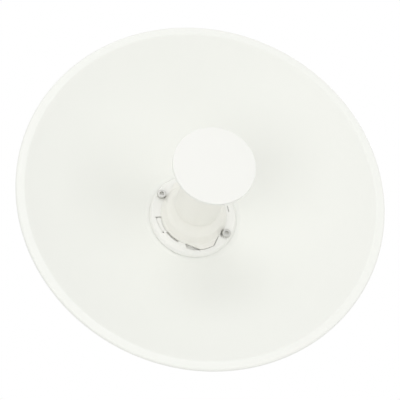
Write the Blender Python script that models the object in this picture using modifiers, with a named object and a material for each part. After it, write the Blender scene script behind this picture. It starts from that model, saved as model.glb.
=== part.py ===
"""Compact parabolic dish antenna with a plug-in centre feed and a tilting mast bracket.

Everything is modelled in the dish's own axis frame: x to the right, y up and z forward
along the boresight. One empty turns that frame so that forward is world -Y and up is
world +Z. The origin is the middle of the bracket's flat back face.
"""
import math

import bmesh
import bpy

# General: the gap between touching pieces, and how far a cutter runs past a face
GAP = 0.0003
PAST = 0.0020
ROUND_STEPS = 48
BOLT_STEPS = 16
CORNER_STEPS = 5

# Reflector: an open paraboloid with a flat seat round its hole and a rolled lip
DISH_RADIUS = 0.200
DISH_STEPS = 72
DISH_SHEET = 0.0016
RIM_PLANE = 0.154
SEAT_FRONT = 0.0835
SEAT_INNER_RADIUS = 0.046
SEAT_OUTER_RADIUS = 0.054
BOWL_EDGE_RADIUS = 0.1895
BOWL_EDGE_FRONT = RIM_PLANE + 0.0015
BOWL_POINTS = 9
LIP_FRONT = RIM_PLANE + 0.0030
LIP_INNER_RADIUS = 0.1920
LIP_BREAK = (0.0015, 0.0003)
LIP_ROLL = 0.0035
LIP_ROLL_STEPS = 3
LIP_SKIRT = 0.0050
FOCAL_X4 = (BOWL_EDGE_RADIUS ** 2 - SEAT_OUTER_RADIUS ** 2) / (BOWL_EDGE_FRONT - SEAT_FRONT)
VERTEX_FRONT = SEAT_FRONT - SEAT_OUTER_RADIUS ** 2 / FOCAL_X4

# Front hub ring with its bayonet notches; angles in degrees from +x towards +y
RING_RADIUS = 0.0510
RING_FACE_RADIUS = 0.0465
RING_BORE = 0.0372
RING_BACK = SEAT_FRONT + GAP
RING_FRONT = RIM_PLANE - 0.0652
BORE_STEPS = 96
LOCK_TONGUE = (188.0, 215.5)
TONGUE_INNER_RADII = (0.0379, 0.0381)
TONGUE_OUTER_RADII = (0.0422, 0.0409)
TONGUE_SLOT = 0.0008
TONGUE_STEPS = 8
GAP_NOTCH = (217.5, 243.0)
GAP_NOTCH_RADIUS = 0.0384
TAB_NOTCH = (254.7, 318.8)
TAB_NOTCH_LEFT = ((0.0404, 257.8), (0.0419, 261.0))
TAB_NOTCH_FLOOR = (265.5, 302.5)
TAB_NOTCH_RADIUS = 0.0428

# Hub screws, M6 low socket heads
HUB_SCREW_CIRCLE = 0.0421
HUB_SCREW_ANGLES = {"hub_screw_left": 150.0, "hub_screw_right": 330.0}
M6_SHANK = 0.0030
M6_HEAD_RADIUS = 0.0050
M6_HEAD_HEIGHT = 0.0040
M6_SOCKET = 0.0023
M6_SOCKET_DEPTH = 0.0023
HUB_SCREW_END = 0.0710
HEAD_EDGE_SHARE = 0.12

# Feed: base with two bayonet tabs, tube, and the flat cap at its end
FEED_BASE_RADIUS = 0.0368
FEED_BASE_BACK = 0.0836
FEED_BASE_EDGE_FRONT = RING_FRONT + 0.0012
FEED_BASE_SHOULDER = (0.0325, 0.1010)
FEED_BASE_FILLET = 0.0030
FEED_FOOT_TOP = 0.1160
FEED_FOOT_BORE = 0.0228
FEED_FOOT_FLARE = ((0.0012, 0.0045), (0.0036, 0.0100))
TAB_RADIUS = 0.0422
TAB_TOP = (281.0, 302.0)
TAB_FOOT = (256.6, 318.0)
TAB_ROOT = 0.0040
TAB_STEPS = 6
TAB_FRONT = RING_FRONT + 0.0009
TAB_BACK = RING_FRONT - 0.0042
TUBE_RADIUS = 0.0254
TUBE_WALL = 0.0025
CAP_FRONT = RIM_PLANE + 0.0654
CAP_RADIUS = 0.0436
CAP_THICKNESS = 0.0042
CAP_EDGE = 0.0012
CAP_CONE = 0.0020
CAP_COLLAR_RADIUS = 0.0295
CAP_COLLAR_LENGTH = 0.0095

# Rear hub behind the reflector
REAR_HUB_RADIUS = 0.0620
REAR_HUB_FRONT = SEAT_FRONT - DISH_SHEET - GAP
REAR_HUB_THICKNESS = 0.0140
REAR_HUB_BACK = REAR_HUB_FRONT - REAR_HUB_THICKNESS
REAR_HUB_EDGE = 0.0020
HOLE_SPARE = 0.0010

# Radio housing that plugs into the hub from behind, and its back cover
SPIGOT_RADIUS = 0.0366
SPIGOT_FRONT = FEED_BASE_BACK - GAP
CAN_RADIUS = 0.0455
CAN_FRONT = REAR_HUB_BACK - GAP
CAN_BACK = 0.0290
COVER_BACK = 0.0240
COVER_EDGE = 0.0030
COVER_EDGE_STEPS = 3
DOOR_SIZE = (0.0340, 0.0250)
DOOR_CENTRE_Y = -0.0220
DOOR_THICKNESS = 0.0022
DOOR_CORNER = 0.0040
INLET_FORWARD = 0.0480
INLET_RADIUS = 0.0085
INLET_NECK_RADIUS = 0.0070
INLET_BORE = 0.0032
INLET_SEAT_DEPTH = 0.0060
INLET_SHOULDER = -0.0008
INLET_CHAMFER = 0.0002
INLET_COLLAR = 0.0050
INLET_LENGTH = 0.0150
INLET_STEPS = 24

# Bent sheet brackets
SHEET = 0.0030
BEND = 0.0040
BEND_STEPS = 4
INNER_BEND_STEPS = 2
YOKE_FRONT = CAN_FRONT
YOKE_BACK = YOKE_FRONT - SHEET
YOKE_HALF_WIDTH = 0.0580
YOKE_HALF_HEIGHT = 0.0500
YOKE_TIP = 0.0085
YOKE_TIP_HALF_HEIGHT = 0.0360
YOKE_TIP_CORNER = 0.0120
YOKE_SHOULDER = 0.0120
YOKE_HOLE_RADIUS = 0.0470
MAST_HALF_WIDTH = YOKE_HALF_WIDTH - SHEET - GAP
MAST_HALF_HEIGHT = 0.0600
MAST_EAR_TIP = 0.0430
MAST_EAR_HALF_HEIGHT = 0.0370
MAST_EAR_CORNER = 0.0140
MAST_SHOULDER = 0.0080
BAND_SLOT = (0.0085, 0.0260)
BAND_SLOT_X = 0.0340
BAND_SLOT_Y = 0.0390
BAND_SLOT_ROUNDING = 0.98
WALL_HOLE_RADIUS = 0.0043
WALL_HOLE_Y = 0.0480

# Tilt bolts: one pair to pivot on, one pair to lock in the arc slots
PIVOT_FORWARD = 0.0220
PIVOT_Y = 0.0210
LOCK_Y = -0.0180
SLOT_SWING = math.radians(13.0)
SLOT_STEPS = 6
BOLT_RADIUS = 0.0040
BOLT_HOLE = 0.0044
BOLT_HEAD = 0.0072
BOLT_HEAD_HEIGHT = 0.0053
NUT_HEIGHT = 0.0060
WASHER_RADIUS = 0.0085
WASHER_THICKNESS = 0.0016
BOLT_STICK_OUT = 0.0020
HEAD_ROOT = 0.0010
WASHER_STEPS = 24

# Bracket screws through the yoke into the rear hub, and the earth screw on the left arm
M5_SHANK = 0.0025
M5_HOLE = 0.0028
M5_HEAD_RADIUS = 0.0045
M5_HEAD_HEIGHT = 0.0036
M5_SOCKET = 0.0023
M5_SOCKET_DEPTH = 0.0020
BRACKET_SCREW_CIRCLE = 0.0540
BRACKET_SCREW_FRONT = 0.0760
EARTH_FORWARD = 0.0500
EARTH_Y = -0.0240
EARTH_SHANK = 0.0070

WHITE_PAINT = ("white_paint", (0.86, 0.86, 0.82), 0.45, 0.0)
WHITE_PLASTIC = ("white_plastic", (0.84, 0.84, 0.80), 0.40, 0.0)
GREY_PLASTIC = ("grey_plastic", (0.70, 0.71, 0.69), 0.50, 0.0)
BLACK_RUBBER = ("black_rubber", (0.05, 0.05, 0.05), 0.80, 0.0)
STEEL = ("zinc_steel", (0.62, 0.62, 0.60), 0.35, 1.0)


def clear_scene():
    """Remove every object so that the script starts from an empty scene."""
    for old in list(bpy.data.objects):
        bpy.data.objects.remove(old, do_unlink=True)


def make_collection(name):
    """Make a collection under the scene's own."""
    made = bpy.data.collections.new(name)
    bpy.context.scene.collection.children.link(made)
    return made


clear_scene()
PARTS = make_collection("dish_antenna")
CUTTERS = make_collection("cutters")
AXIS = bpy.data.objects.new("dish_axis", None)
AXIS.rotation_euler = (math.radians(90.0), 0.0, 0.0)
PARTS.objects.link(AXIS)


def material(name, finish):
    """Give one sub-part its own Principled material."""
    kind, colour, roughness, metallic = finish
    made = bpy.data.materials.new(name + "_" + kind)
    made.use_nodes = True
    shader = made.node_tree.nodes["Principled BSDF"]
    shader.inputs["Base Color"].default_value = (*colour, 1.0)
    shader.inputs["Roughness"].default_value = roughness
    shader.inputs["Metallic"].default_value = metallic
    return made


def place(name, data, finish=None, rotation=(0.0, 0.0, 0.0), location=(0.0, 0.0, 0.0)):
    """Put mesh or curve data in the axis frame, as a part or, with no finish, a cutter."""
    made = bpy.data.objects.new(name, data)
    made.parent = AXIS
    made.rotation_euler = rotation
    made.location = location
    if finish is None:
        CUTTERS.objects.link(made)
        made.hide_render = True
        made.display_type = "WIRE"
        return made
    PARTS.objects.link(made)
    made.data.materials.append(material(name, finish))
    return made


def arc(radius, start, end, steps, centre=(0.0, 0.0)):
    """Points on a circular arc between two angles in radians, both ends included."""
    points = []
    for step in range(steps + 1):
        angle = start + (end - start) * step / steps
        x = centre[0] + radius * math.cos(angle)
        y = centre[1] + radius * math.sin(angle)
        points.append((x, y))
    return points


def circle(radius, steps, centre=(0.0, 0.0)):
    """Points round a full circle."""
    return arc(radius, 0.0, math.tau * (steps - 1) / steps, steps - 1, centre)


def rounded_box(half_x, half_y, corner, centre=(0.0, 0.0), steps=4):
    """Outline of a rectangle with rounded corners."""
    points = []
    for index, (sign_x, sign_y) in enumerate(((1, 1), (-1, 1), (-1, -1), (1, -1))):
        x = centre[0] + sign_x * (half_x - corner)
        y = centre[1] + sign_y * (half_y - corner)
        start = index * math.pi / 2
        points.extend(arc(corner, start, start + math.pi / 2, steps, (x, y)))
    return points


def turned(name, profile, finish=None, steps=ROUND_STEPS, closed=False,
           rotation=(0.0, 0.0, 0.0), location=(0.0, 0.0, 0.0)):
    """Turn a profile of (radius, height) points, listed down its outer side, about z."""
    mesh = bpy.data.meshes.new(name)
    build = bmesh.new()
    corners = [build.verts.new((radius, 0.0, height)) for radius, height in profile]
    for first, second in zip(corners, corners[1:]):
        build.edges.new((first, second))
    if closed:
        build.edges.new((corners[-1], corners[0]))
    build.to_mesh(mesh)
    build.free()
    made = place(name, mesh, finish, rotation, location)
    screw = made.modifiers.new("turn", "SCREW")
    screw.axis = "Z"
    screw.angle = math.tau
    screw.steps = steps
    screw.render_steps = steps
    screw.use_merge_vertices = True
    screw.merge_threshold = 0.00001
    screw.use_smooth_shade = True
    return made


def sheet_outline(name, splines, low, high, finish=None, rotation=(0.0, 0.0, 0.0),
                  location=(0.0, 0.0, 0.0)):
    """Extrude flat outlines, the later ones being holes, from low to high as a mesh."""
    curve = bpy.data.curves.new(name + "_outline", "CURVE")
    curve.dimensions = "2D"
    curve.fill_mode = "BOTH"
    curve.extrude = (high - low) / 2
    for points in splines:
        spline = curve.splines.new("POLY")
        spline.points.add(len(points) - 1)
        for target, (x, y) in zip(spline.points, points):
            target.co = (x, y, 0.0, 1.0)
        spline.use_cyclic_u = True
    guide = bpy.data.objects.new(name + "_guide", curve)
    bpy.context.scene.collection.objects.link(guide)
    bpy.context.view_layer.update()
    evaluated = guide.evaluated_get(bpy.context.evaluated_depsgraph_get())
    mesh = bpy.data.meshes.new_from_object(evaluated)
    bpy.data.objects.remove(guide, do_unlink=True)
    bpy.data.curves.remove(curve)
    mesh.name = name
    build = bmesh.new()
    build.from_mesh(mesh)
    bmesh.ops.remove_doubles(build, verts=build.verts, dist=0.000001)
    bmesh.ops.translate(build, verts=build.verts, vec=(0.0, 0.0, (high + low) / 2))
    build.to_mesh(mesh)
    build.free()
    return place(name, mesh, finish, rotation, location)


def cylinder_mesh(name, radius, low, high, sides):
    """A closed cylinder or prism along z between two heights."""
    mesh = bpy.data.meshes.new(name)
    build = bmesh.new()
    bmesh.ops.create_cone(build, cap_ends=True, cap_tris=False, segments=sides,
                          radius1=radius, radius2=radius, depth=high - low)
    bmesh.ops.translate(build, verts=build.verts, vec=(0.0, 0.0, (high + low) / 2))
    build.to_mesh(mesh)
    build.free()
    return mesh


def boolean(target, tool, operation="DIFFERENCE"):
    """Combine a part with a cutter by the exact solver."""
    step = target.modifiers.new(tool.name, "BOOLEAN")
    step.operation = operation
    step.solver = "EXACT"
    step.object = tool


def polar(radius, degrees):
    """A point in the dish plane."""
    angle = math.radians(degrees)
    return (radius * math.cos(angle), radius * math.sin(angle))


def make_reflector():
    """Thin pressed bowl: flat seat, paraboloid, then a flat lip that rolls back."""
    profile = [(SEAT_INNER_RADIUS, SEAT_FRONT), (SEAT_OUTER_RADIUS, SEAT_FRONT)]
    span = BOWL_EDGE_RADIUS - SEAT_OUTER_RADIUS
    for step in range(1, BOWL_POINTS + 1):
        radius = SEAT_OUTER_RADIUS + span * step / BOWL_POINTS
        profile.append((radius, VERTEX_FRONT + radius ** 2 / FOCAL_X4))
    profile.append((LIP_INNER_RADIUS, LIP_FRONT - LIP_BREAK[1]))
    profile.append((LIP_INNER_RADIUS + LIP_BREAK[0], LIP_FRONT))
    centre = (DISH_RADIUS - LIP_ROLL, LIP_FRONT - LIP_ROLL)
    profile.extend(arc(LIP_ROLL, math.pi / 2, 0.0, LIP_ROLL_STEPS, centre))
    profile.append((DISH_RADIUS, LIP_FRONT - LIP_ROLL - LIP_SKIRT))
    part = turned("reflector", profile, WHITE_PAINT, DISH_STEPS)
    shell = part.modifiers.new("sheet", "SOLIDIFY")
    shell.thickness = DISH_SHEET
    shell.offset = -1.0
    shell.use_even_offset = True
    return part


def arc_degrees(radius, start, end):
    """Arc between two angles in degrees, as fine as the ring's bore."""
    steps = max(2, round((end - start) / 360.0 * BORE_STEPS))
    return arc(radius, math.radians(start), math.radians(end), steps)


def tongue_side(radii, past=0.0):
    """One long side of the locking tongue, with its radius changing evenly along it."""
    start, end = LOCK_TONGUE
    points = []
    for step in range(TONGUE_STEPS + 1):
        share = step / TONGUE_STEPS
        radius = radii[0] + (radii[1] - radii[0]) * share
        points.append(polar(radius, start + (end + past - start) * share))
    return points


def tongue_slot():
    """The bore up to the locking tongue, round the tongue and along its outer slot."""
    slot_radii = [radius + TONGUE_SLOT for radius in TONGUE_OUTER_RADII]
    points = arc_degrees(RING_BORE, TAB_NOTCH[1] - 180.0, LOCK_TONGUE[0])
    points.extend(tongue_side(TONGUE_INNER_RADII))
    points.extend(reversed(tongue_side(TONGUE_OUTER_RADII)))
    points.extend(tongue_side(slot_radii, GAP_NOTCH[0] - LOCK_TONGUE[1]))
    return points


def half_bore(turn):
    """Half of the ring's inner outline; only the first half has the locking tongue."""
    if turn == 0.0:
        points = tongue_slot()
    else:
        points = arc_degrees(RING_BORE, TAB_NOTCH[1] - 180.0 + turn, GAP_NOTCH[0] + turn)
    points.extend(arc_degrees(GAP_NOTCH_RADIUS, GAP_NOTCH[0] + turn, GAP_NOTCH[1] + turn))
    points.extend(arc_degrees(RING_BORE, GAP_NOTCH[1] + turn, TAB_NOTCH[0] + turn))
    points.extend(polar(radius, angle + turn) for radius, angle in TAB_NOTCH_LEFT)
    floor_start, floor_end = TAB_NOTCH_FLOOR
    points.extend(arc_degrees(TAB_NOTCH_RADIUS, floor_start + turn, floor_end + turn))
    return points


def make_hub_ring():
    """Moulded ring that clamps the reflector from the front and takes the feed."""
    outlines = [circle(RING_RADIUS, ROUND_STEPS), half_bore(0.0) + half_bore(180.0)]
    for angle in HUB_SCREW_ANGLES.values():
        spot = polar(HUB_SCREW_CIRCLE, angle)
        outlines.append(circle(M6_SHANK + GAP, BOLT_STEPS, spot))
    part = sheet_outline("hub_ring", outlines, RING_BACK, RING_FRONT, WHITE_PLASTIC)
    slope_foot = RING_FRONT - (RING_RADIUS - RING_FACE_RADIUS)
    profile = [(0.0, RING_FRONT + PAST), (RING_FACE_RADIUS - PAST, RING_FRONT + PAST),
               (RING_RADIUS + PAST, slope_foot - PAST), (RING_RADIUS + PAST, RING_BACK - PAST),
               (0.0, RING_BACK - PAST)]
    boolean(part, turned("hub_ring_slope", profile), "INTERSECT")
    return part


def cap_screw(name, location, rotation, sizes, shank_length):
    """Socket head screw whose seat is at its own z = 0 and whose head is above it."""
    shank, head, height, socket, depth = sizes
    edge = head * HEAD_EDGE_SHARE
    profile = [(0.0, height), (head - edge, height), (head, height - edge), (head, 0.0),
               (shank, 0.0), (shank, -shank_length), (0.0, -shank_length)]
    part = turned(name, profile, STEEL, BOLT_STEPS, False, rotation, location)
    mesh = cylinder_mesh(name + "_socket", socket, height - depth, height + PAST, 6)
    boolean(part, place(name + "_socket", mesh, None, rotation, location))
    return part


def make_hub_screws():
    """Two long screws through the ring into the rear hub."""
    sizes = (M6_SHANK, M6_HEAD_RADIUS, M6_HEAD_HEIGHT, M6_SOCKET, M6_SOCKET_DEPTH)
    seat = RING_FRONT + GAP
    for name, angle in HUB_SCREW_ANGLES.items():
        x, y = polar(HUB_SCREW_CIRCLE, angle)
        cap_screw(name, (x, y, seat), (0.0, 0.0, 0.0), sizes, seat - HUB_SCREW_END)


def tab_outline(turn):
    """A bayonet tab with slanted sides, from inside the base's edge out to its round end."""
    top_start, top_end = (math.radians(angle + turn) for angle in TAB_TOP)
    foot_start, foot_end = (math.radians(angle + turn) for angle in TAB_FOOT)
    points = arc(TAB_RADIUS, top_start, top_end, TAB_STEPS)
    points.append(polar(FEED_BASE_RADIUS, TAB_FOOT[1] + turn))
    points.extend(arc(FEED_BASE_RADIUS - TAB_ROOT, foot_end, foot_start, TAB_STEPS))
    points.append(polar(FEED_BASE_RADIUS, TAB_FOOT[0] + turn))
    return points


def make_feed_base():
    """Flared foot of the feed with two bayonet tabs on its edge."""
    profile = [(TUBE_RADIUS, FEED_FOOT_TOP)]
    for out, down in FEED_FOOT_FLARE:
        profile.append((TUBE_RADIUS + out, FEED_FOOT_TOP - down))
    fillet = FEED_BASE_FILLET
    profile.extend([FEED_BASE_SHOULDER,
                    (FEED_BASE_RADIUS - fillet / 2, FEED_BASE_EDGE_FRONT + fillet),
                    (FEED_BASE_RADIUS, FEED_BASE_EDGE_FRONT),
                    (FEED_BASE_RADIUS, FEED_BASE_BACK),
                    (FEED_FOOT_BORE, FEED_BASE_BACK),
                    (FEED_FOOT_BORE, FEED_FOOT_TOP)])
    part = turned("feed_base", profile, WHITE_PLASTIC, closed=True)
    for turn in (0.0, 180.0):
        tool_name = "tab_{:.0f}".format(turn)
        tool = sheet_outline(tool_name, [tab_outline(turn)], TAB_BACK, TAB_FRONT)
        boolean(part, tool, "UNION")
    return part


def make_feed_tube():
    """Straight tube that carries the cap at the focus."""
    back = FEED_FOOT_TOP + GAP
    front = CAP_FRONT - CAP_THICKNESS - GAP
    inner = TUBE_RADIUS - TUBE_WALL
    profile = [(TUBE_RADIUS, front), (TUBE_RADIUS, back), (inner, back), (inner, front)]
    return turned("feed_tube", profile, WHITE_PLASTIC, ROUND_STEPS, closed=True)


def make_feed_cap():
    """Flat round cap over the end of the feed, with a collar that grips the tube."""
    back = CAP_FRONT - CAP_THICKNESS
    collar_inner = TUBE_RADIUS + GAP
    profile = [(0.0, CAP_FRONT), (CAP_RADIUS - CAP_EDGE, CAP_FRONT),
               (CAP_RADIUS, CAP_FRONT - CAP_EDGE), (CAP_RADIUS, back + CAP_EDGE),
               (CAP_RADIUS - CAP_EDGE, back), (CAP_COLLAR_RADIUS, back - CAP_CONE),
               (CAP_COLLAR_RADIUS, back - CAP_COLLAR_LENGTH),
               (collar_inner, back - CAP_COLLAR_LENGTH), (collar_inner, back), (0.0, back)]
    return turned("feed_cap", profile, WHITE_PLASTIC)


def make_rear_hub():
    """Ring behind the reflector that the screws draw up against the front ring."""
    edge = REAR_HUB_EDGE
    bore = RING_BORE
    profile = [(REAR_HUB_RADIUS, REAR_HUB_FRONT), (REAR_HUB_RADIUS, REAR_HUB_BACK + edge),
               (REAR_HUB_RADIUS - edge, REAR_HUB_BACK), (bore, REAR_HUB_BACK),
               (bore, REAR_HUB_FRONT)]
    part = turned("rear_hub", profile, GREY_PLASTIC, closed=True)
    for name, angle in HUB_SCREW_ANGLES.items():
        x, y = polar(HUB_SCREW_CIRCLE, angle)
        mesh = cylinder_mesh(name + "_hole", M6_SHANK + GAP, HUB_SCREW_END - HOLE_SPARE,
                             REAR_HUB_FRONT + PAST, BOLT_STEPS)
        boolean(part, place(name + "_hole", mesh, location=(x, y, 0.0)))
    for index, spot in enumerate(bracket_screw_spots()):
        mesh = cylinder_mesh("hub_hole", M5_HOLE, REAR_HUB_BACK - PAST,
                             BRACKET_SCREW_FRONT + HOLE_SPARE, BOLT_STEPS)
        tool = place("hub_hole_{}".format(index), mesh, location=(*spot, 0.0))
        boolean(part, tool)
    return part


def bracket_screw_spots():
    """The four places where the yoke is screwed to the rear hub."""
    return [polar(BRACKET_SCREW_CIRCLE, angle) for angle in (45.0, 135.0, 225.0, 315.0)]


def make_radio_housing():
    """Round closed housing behind the hub with a spigot that fills the hub's bore."""
    profile = [(0.0, SPIGOT_FRONT), (SPIGOT_RADIUS, SPIGOT_FRONT),
               (SPIGOT_RADIUS, CAN_FRONT), (CAN_RADIUS, CAN_FRONT),
               (CAN_RADIUS, CAN_BACK), (0.0, CAN_BACK)]
    part = turned("radio_housing", profile, WHITE_PLASTIC)
    depth = INLET_SEAT_DEPTH
    mesh = cylinder_mesh("inlet_seat", INLET_NECK_RADIUS + GAP, -depth, depth, INLET_STEPS)
    turn = (math.radians(90.0), 0.0, 0.0)
    tool = place("inlet_seat", mesh, None, turn, (0.0, -CAN_RADIUS, INLET_FORWARD))
    boolean(part, tool)
    return part


def make_housing_cover():
    """Shallow lid that closes the back of the housing."""
    front = CAN_BACK - GAP
    profile = [(0.0, front), (CAN_RADIUS, front)]
    centre = (CAN_RADIUS - COVER_EDGE, COVER_BACK + COVER_EDGE)
    profile.extend(arc(COVER_EDGE, 0.0, -math.pi / 2, COVER_EDGE_STEPS, centre))
    profile.append((0.0, COVER_BACK))
    return turned("housing_cover", profile, WHITE_PLASTIC)


def make_port_door():
    """Small door over the sockets, low on the back cover."""
    outline = rounded_box(DOOR_SIZE[0] / 2, DOOR_SIZE[1] / 2, DOOR_CORNER,
                          (0.0, DOOR_CENTRE_Y))
    front = COVER_BACK - GAP
    return sheet_outline("port_door", [outline], front - DOOR_THICKNESS, front,
                         GREY_PLASTIC)


def make_cable_inlet():
    """Rubber inlet under the housing, with the empty hole that a cable would use."""
    neck = INLET_NECK_RADIUS
    top = INLET_SEAT_DEPTH - GAP
    shoulder = INLET_SHOULDER
    end = shoulder - INLET_LENGTH
    profile = [(neck, top), (neck, shoulder), (INLET_RADIUS, shoulder - INLET_CHAMFER),
               (INLET_RADIUS, shoulder - INLET_COLLAR), (neck, end), (INLET_BORE, end),
               (INLET_BORE, top)]
    turn = (math.radians(-90.0), 0.0, 0.0)
    return turned("cable_inlet", profile, BLACK_RUBBER, INLET_STEPS, True, turn,
                  (0.0, -CAN_RADIUS, INLET_FORWARD))


def bent_channel(half_width, web_low, web_high, tip):
    """Outline of a sheet bent into a U, as (x, z) points, its arms running to tip."""
    toward_tip = 1.0 if tip > web_high else -1.0
    outer_face = web_low if toward_tip > 0 else web_high
    inner_face = web_high if toward_tip > 0 else web_low
    inner_half = half_width - SHEET
    inner_bend = BEND - SHEET
    points = [(half_width, tip)]
    corner = (half_width - BEND, outer_face + toward_tip * BEND)
    points.extend(arc(BEND, 0.0, -toward_tip * math.pi / 2, BEND_STEPS, corner))
    corner = (-half_width + BEND, outer_face + toward_tip * BEND)
    start = -toward_tip * math.pi / 2
    points.extend(arc(BEND, start, start - toward_tip * math.pi / 2, BEND_STEPS, corner))
    points.append((-half_width, tip))
    points.append((-inner_half, tip))
    corner = (-inner_half + inner_bend, inner_face + toward_tip * inner_bend)
    start = math.pi
    end = start + toward_tip * math.pi / 2
    points.extend(arc(inner_bend, start, end, INNER_BEND_STEPS, corner))
    corner = (inner_half - inner_bend, inner_face + toward_tip * inner_bend)
    start = -toward_tip * math.pi / 2
    points.extend(arc(inner_bend, start, 0.0, INNER_BEND_STEPS, corner))
    points.append((inner_half, tip))
    return points


def side_cutter(name, outline, half_length):
    """Prism across the bracket from an outline of (z, y) points."""
    turn = (0.0, math.radians(-90.0), 0.0)
    return sheet_outline(name, [outline], -half_length, half_length, None, turn)


def channel(name, outline, half_height):
    """Upright prism from a channel outline of (x, z) points."""
    turn = (math.radians(90.0), 0.0, 0.0)
    return sheet_outline(name, [outline], -half_height, half_height, STEEL, turn)


def make_tilt_bracket():
    """Yoke round the radio housing: web on the rear hub, two arms running back."""
    outline = bent_channel(YOKE_HALF_WIDTH, YOKE_BACK, YOKE_FRONT, YOKE_TIP)
    part = channel("tilt_bracket", outline, YOKE_HALF_HEIGHT)
    neck = YOKE_BACK - YOKE_SHOULDER
    side = [(YOKE_FRONT + PAST, -YOKE_HALF_HEIGHT - PAST),
            (YOKE_FRONT + PAST, YOKE_HALF_HEIGHT + PAST),
            (neck, YOKE_HALF_HEIGHT + PAST)]
    corner = YOKE_TIP_CORNER
    centre = (YOKE_TIP + corner, YOKE_TIP_HALF_HEIGHT - corner)
    side.extend(arc(corner, math.pi / 2, math.pi, CORNER_STEPS, centre))
    centre = (centre[0], -centre[1])
    side.extend(arc(corner, math.pi, math.pi * 1.5, CORNER_STEPS, centre))
    side.append((neck, -YOKE_HALF_HEIGHT - PAST))
    boolean(part, side_cutter("yoke_side", side, YOKE_HALF_WIDTH + PAST), "INTERSECT")
    mesh = cylinder_mesh("yoke_hole", YOKE_HOLE_RADIUS, YOKE_BACK - PAST,
                         YOKE_FRONT + PAST, ROUND_STEPS)
    boolean(part, place("yoke_hole", mesh))
    for index, spot in enumerate(bracket_screw_spots()):
        mesh = cylinder_mesh("yoke_screw_hole", M5_HOLE, YOKE_BACK - PAST,
                             YOKE_FRONT + PAST, BOLT_STEPS)
        tool = place("yoke_screw_hole_{}".format(index), mesh, location=(*spot, 0.0))
        boolean(part, tool)
    for label, height in (("pivot", PIVOT_Y), ("lock", LOCK_Y)):
        hole = circle(BOLT_HOLE, BOLT_STEPS, (PIVOT_FORWARD, height))
        tool = side_cutter("yoke_{}_hole".format(label), hole, YOKE_HALF_WIDTH + PAST)
        boolean(part, tool)
    hole = circle(M5_HOLE, BOLT_STEPS, (EARTH_FORWARD, EARTH_Y))
    turn = (0.0, math.radians(-90.0), 0.0)
    tool = sheet_outline("earth_hole", [hole], YOKE_HALF_WIDTH - SHEET - PAST,
                         YOKE_HALF_WIDTH + PAST, None, turn)
    boolean(part, tool)
    return part


def arc_slot_outline():
    """Slot of the lock bolt, an arc about the pivot, as (z, y) points."""
    reach = PIVOT_Y - LOCK_Y
    centre = (PIVOT_FORWARD, PIVOT_Y)
    start = -math.pi / 2 - SLOT_SWING
    end = -math.pi / 2 + SLOT_SWING
    points = arc(reach + BOLT_HOLE, start, end, SLOT_STEPS, centre)
    end_spot = (centre[0] + reach * math.cos(end), centre[1] + reach * math.sin(end))
    points.extend(arc(BOLT_HOLE, end, end + math.pi, SLOT_STEPS, end_spot)[1:-1])
    points.extend(arc(reach - BOLT_HOLE, end, start, SLOT_STEPS, centre))
    spot = (centre[0] + reach * math.cos(start), centre[1] + reach * math.sin(start))
    end = start + math.tau
    points.extend(arc(BOLT_HOLE, start + math.pi, end, SLOT_STEPS, spot)[1:-1])
    return points


def make_mast_bracket():
    """Channel whose flat back lies on the mast adapter or wall; the yoke tilts on it."""
    outline = bent_channel(MAST_HALF_WIDTH, 0.0, SHEET, MAST_EAR_TIP)
    part = channel("mast_bracket", outline, MAST_HALF_HEIGHT)
    neck = SHEET + MAST_SHOULDER
    corner = MAST_EAR_CORNER
    side = [(-PAST, MAST_HALF_HEIGHT + PAST), (-PAST, -MAST_HALF_HEIGHT - PAST),
            (neck, -MAST_HALF_HEIGHT - PAST)]
    centre = (MAST_EAR_TIP - corner, -MAST_EAR_HALF_HEIGHT + corner)
    side.extend(arc(corner, -math.pi / 2, 0.0, CORNER_STEPS, centre))
    centre = (centre[0], -centre[1])
    side.extend(arc(corner, 0.0, math.pi / 2, CORNER_STEPS, centre))
    side.append((neck, MAST_HALF_HEIGHT + PAST))
    reach = MAST_HALF_WIDTH + PAST
    boolean(part, side_cutter("mast_side", side, reach), "INTERSECT")
    pivot = circle(BOLT_HOLE, BOLT_STEPS, (PIVOT_FORWARD, PIVOT_Y))
    boolean(part, side_cutter("mast_pivot_hole", pivot, reach))
    boolean(part, side_cutter("mast_lock_slot", arc_slot_outline(), reach))
    for index, (sign_x, sign_y) in enumerate(((1, 1), (-1, 1), (-1, -1), (1, -1))):
        centre = (sign_x * BAND_SLOT_X, sign_y * BAND_SLOT_Y)
        half = BAND_SLOT[0] / 2
        slot = rounded_box(half, BAND_SLOT[1] / 2, half * BAND_SLOT_ROUNDING, centre)
        tool_name = "band_slot_{}".format(index)
        boolean(part, sheet_outline(tool_name, [slot], -PAST, SHEET + PAST))
    for sign in (1, -1):
        mesh = cylinder_mesh("wall_hole", WALL_HOLE_RADIUS, -PAST, SHEET + PAST,
                             BOLT_STEPS)
        tool = place("wall_hole_{}".format(sign), mesh,
                     location=(0.0, sign * WALL_HOLE_Y, 0.0))
        boolean(part, tool)
    return part


def make_bracket_screws():
    """Four socket screws that hold the yoke to the rear hub, heads facing back."""
    sizes = (M5_SHANK, M5_HEAD_RADIUS, M5_HEAD_HEIGHT, M5_SOCKET, M5_SOCKET_DEPTH)
    seat = YOKE_BACK - GAP
    for index, spot in enumerate(bracket_screw_spots()):
        name = "bracket_screw_{}".format(index + 1)
        cap_screw(name, (*spot, seat), (math.pi, 0.0, 0.0), sizes,
                  BRACKET_SCREW_FRONT - seat)


def make_earth_screw():
    """Earth terminal screw in the left arm of the yoke."""
    sizes = (M5_SHANK, M5_HEAD_RADIUS, M5_HEAD_HEIGHT, M5_SOCKET, M5_SOCKET_DEPTH)
    spot = (-YOKE_HALF_WIDTH - GAP, EARTH_Y, EARTH_FORWARD)
    turn = (0.0, math.radians(-90.0), 0.0)
    cap_screw("earth_screw", spot, turn, sizes, EARTH_SHANK)


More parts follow.
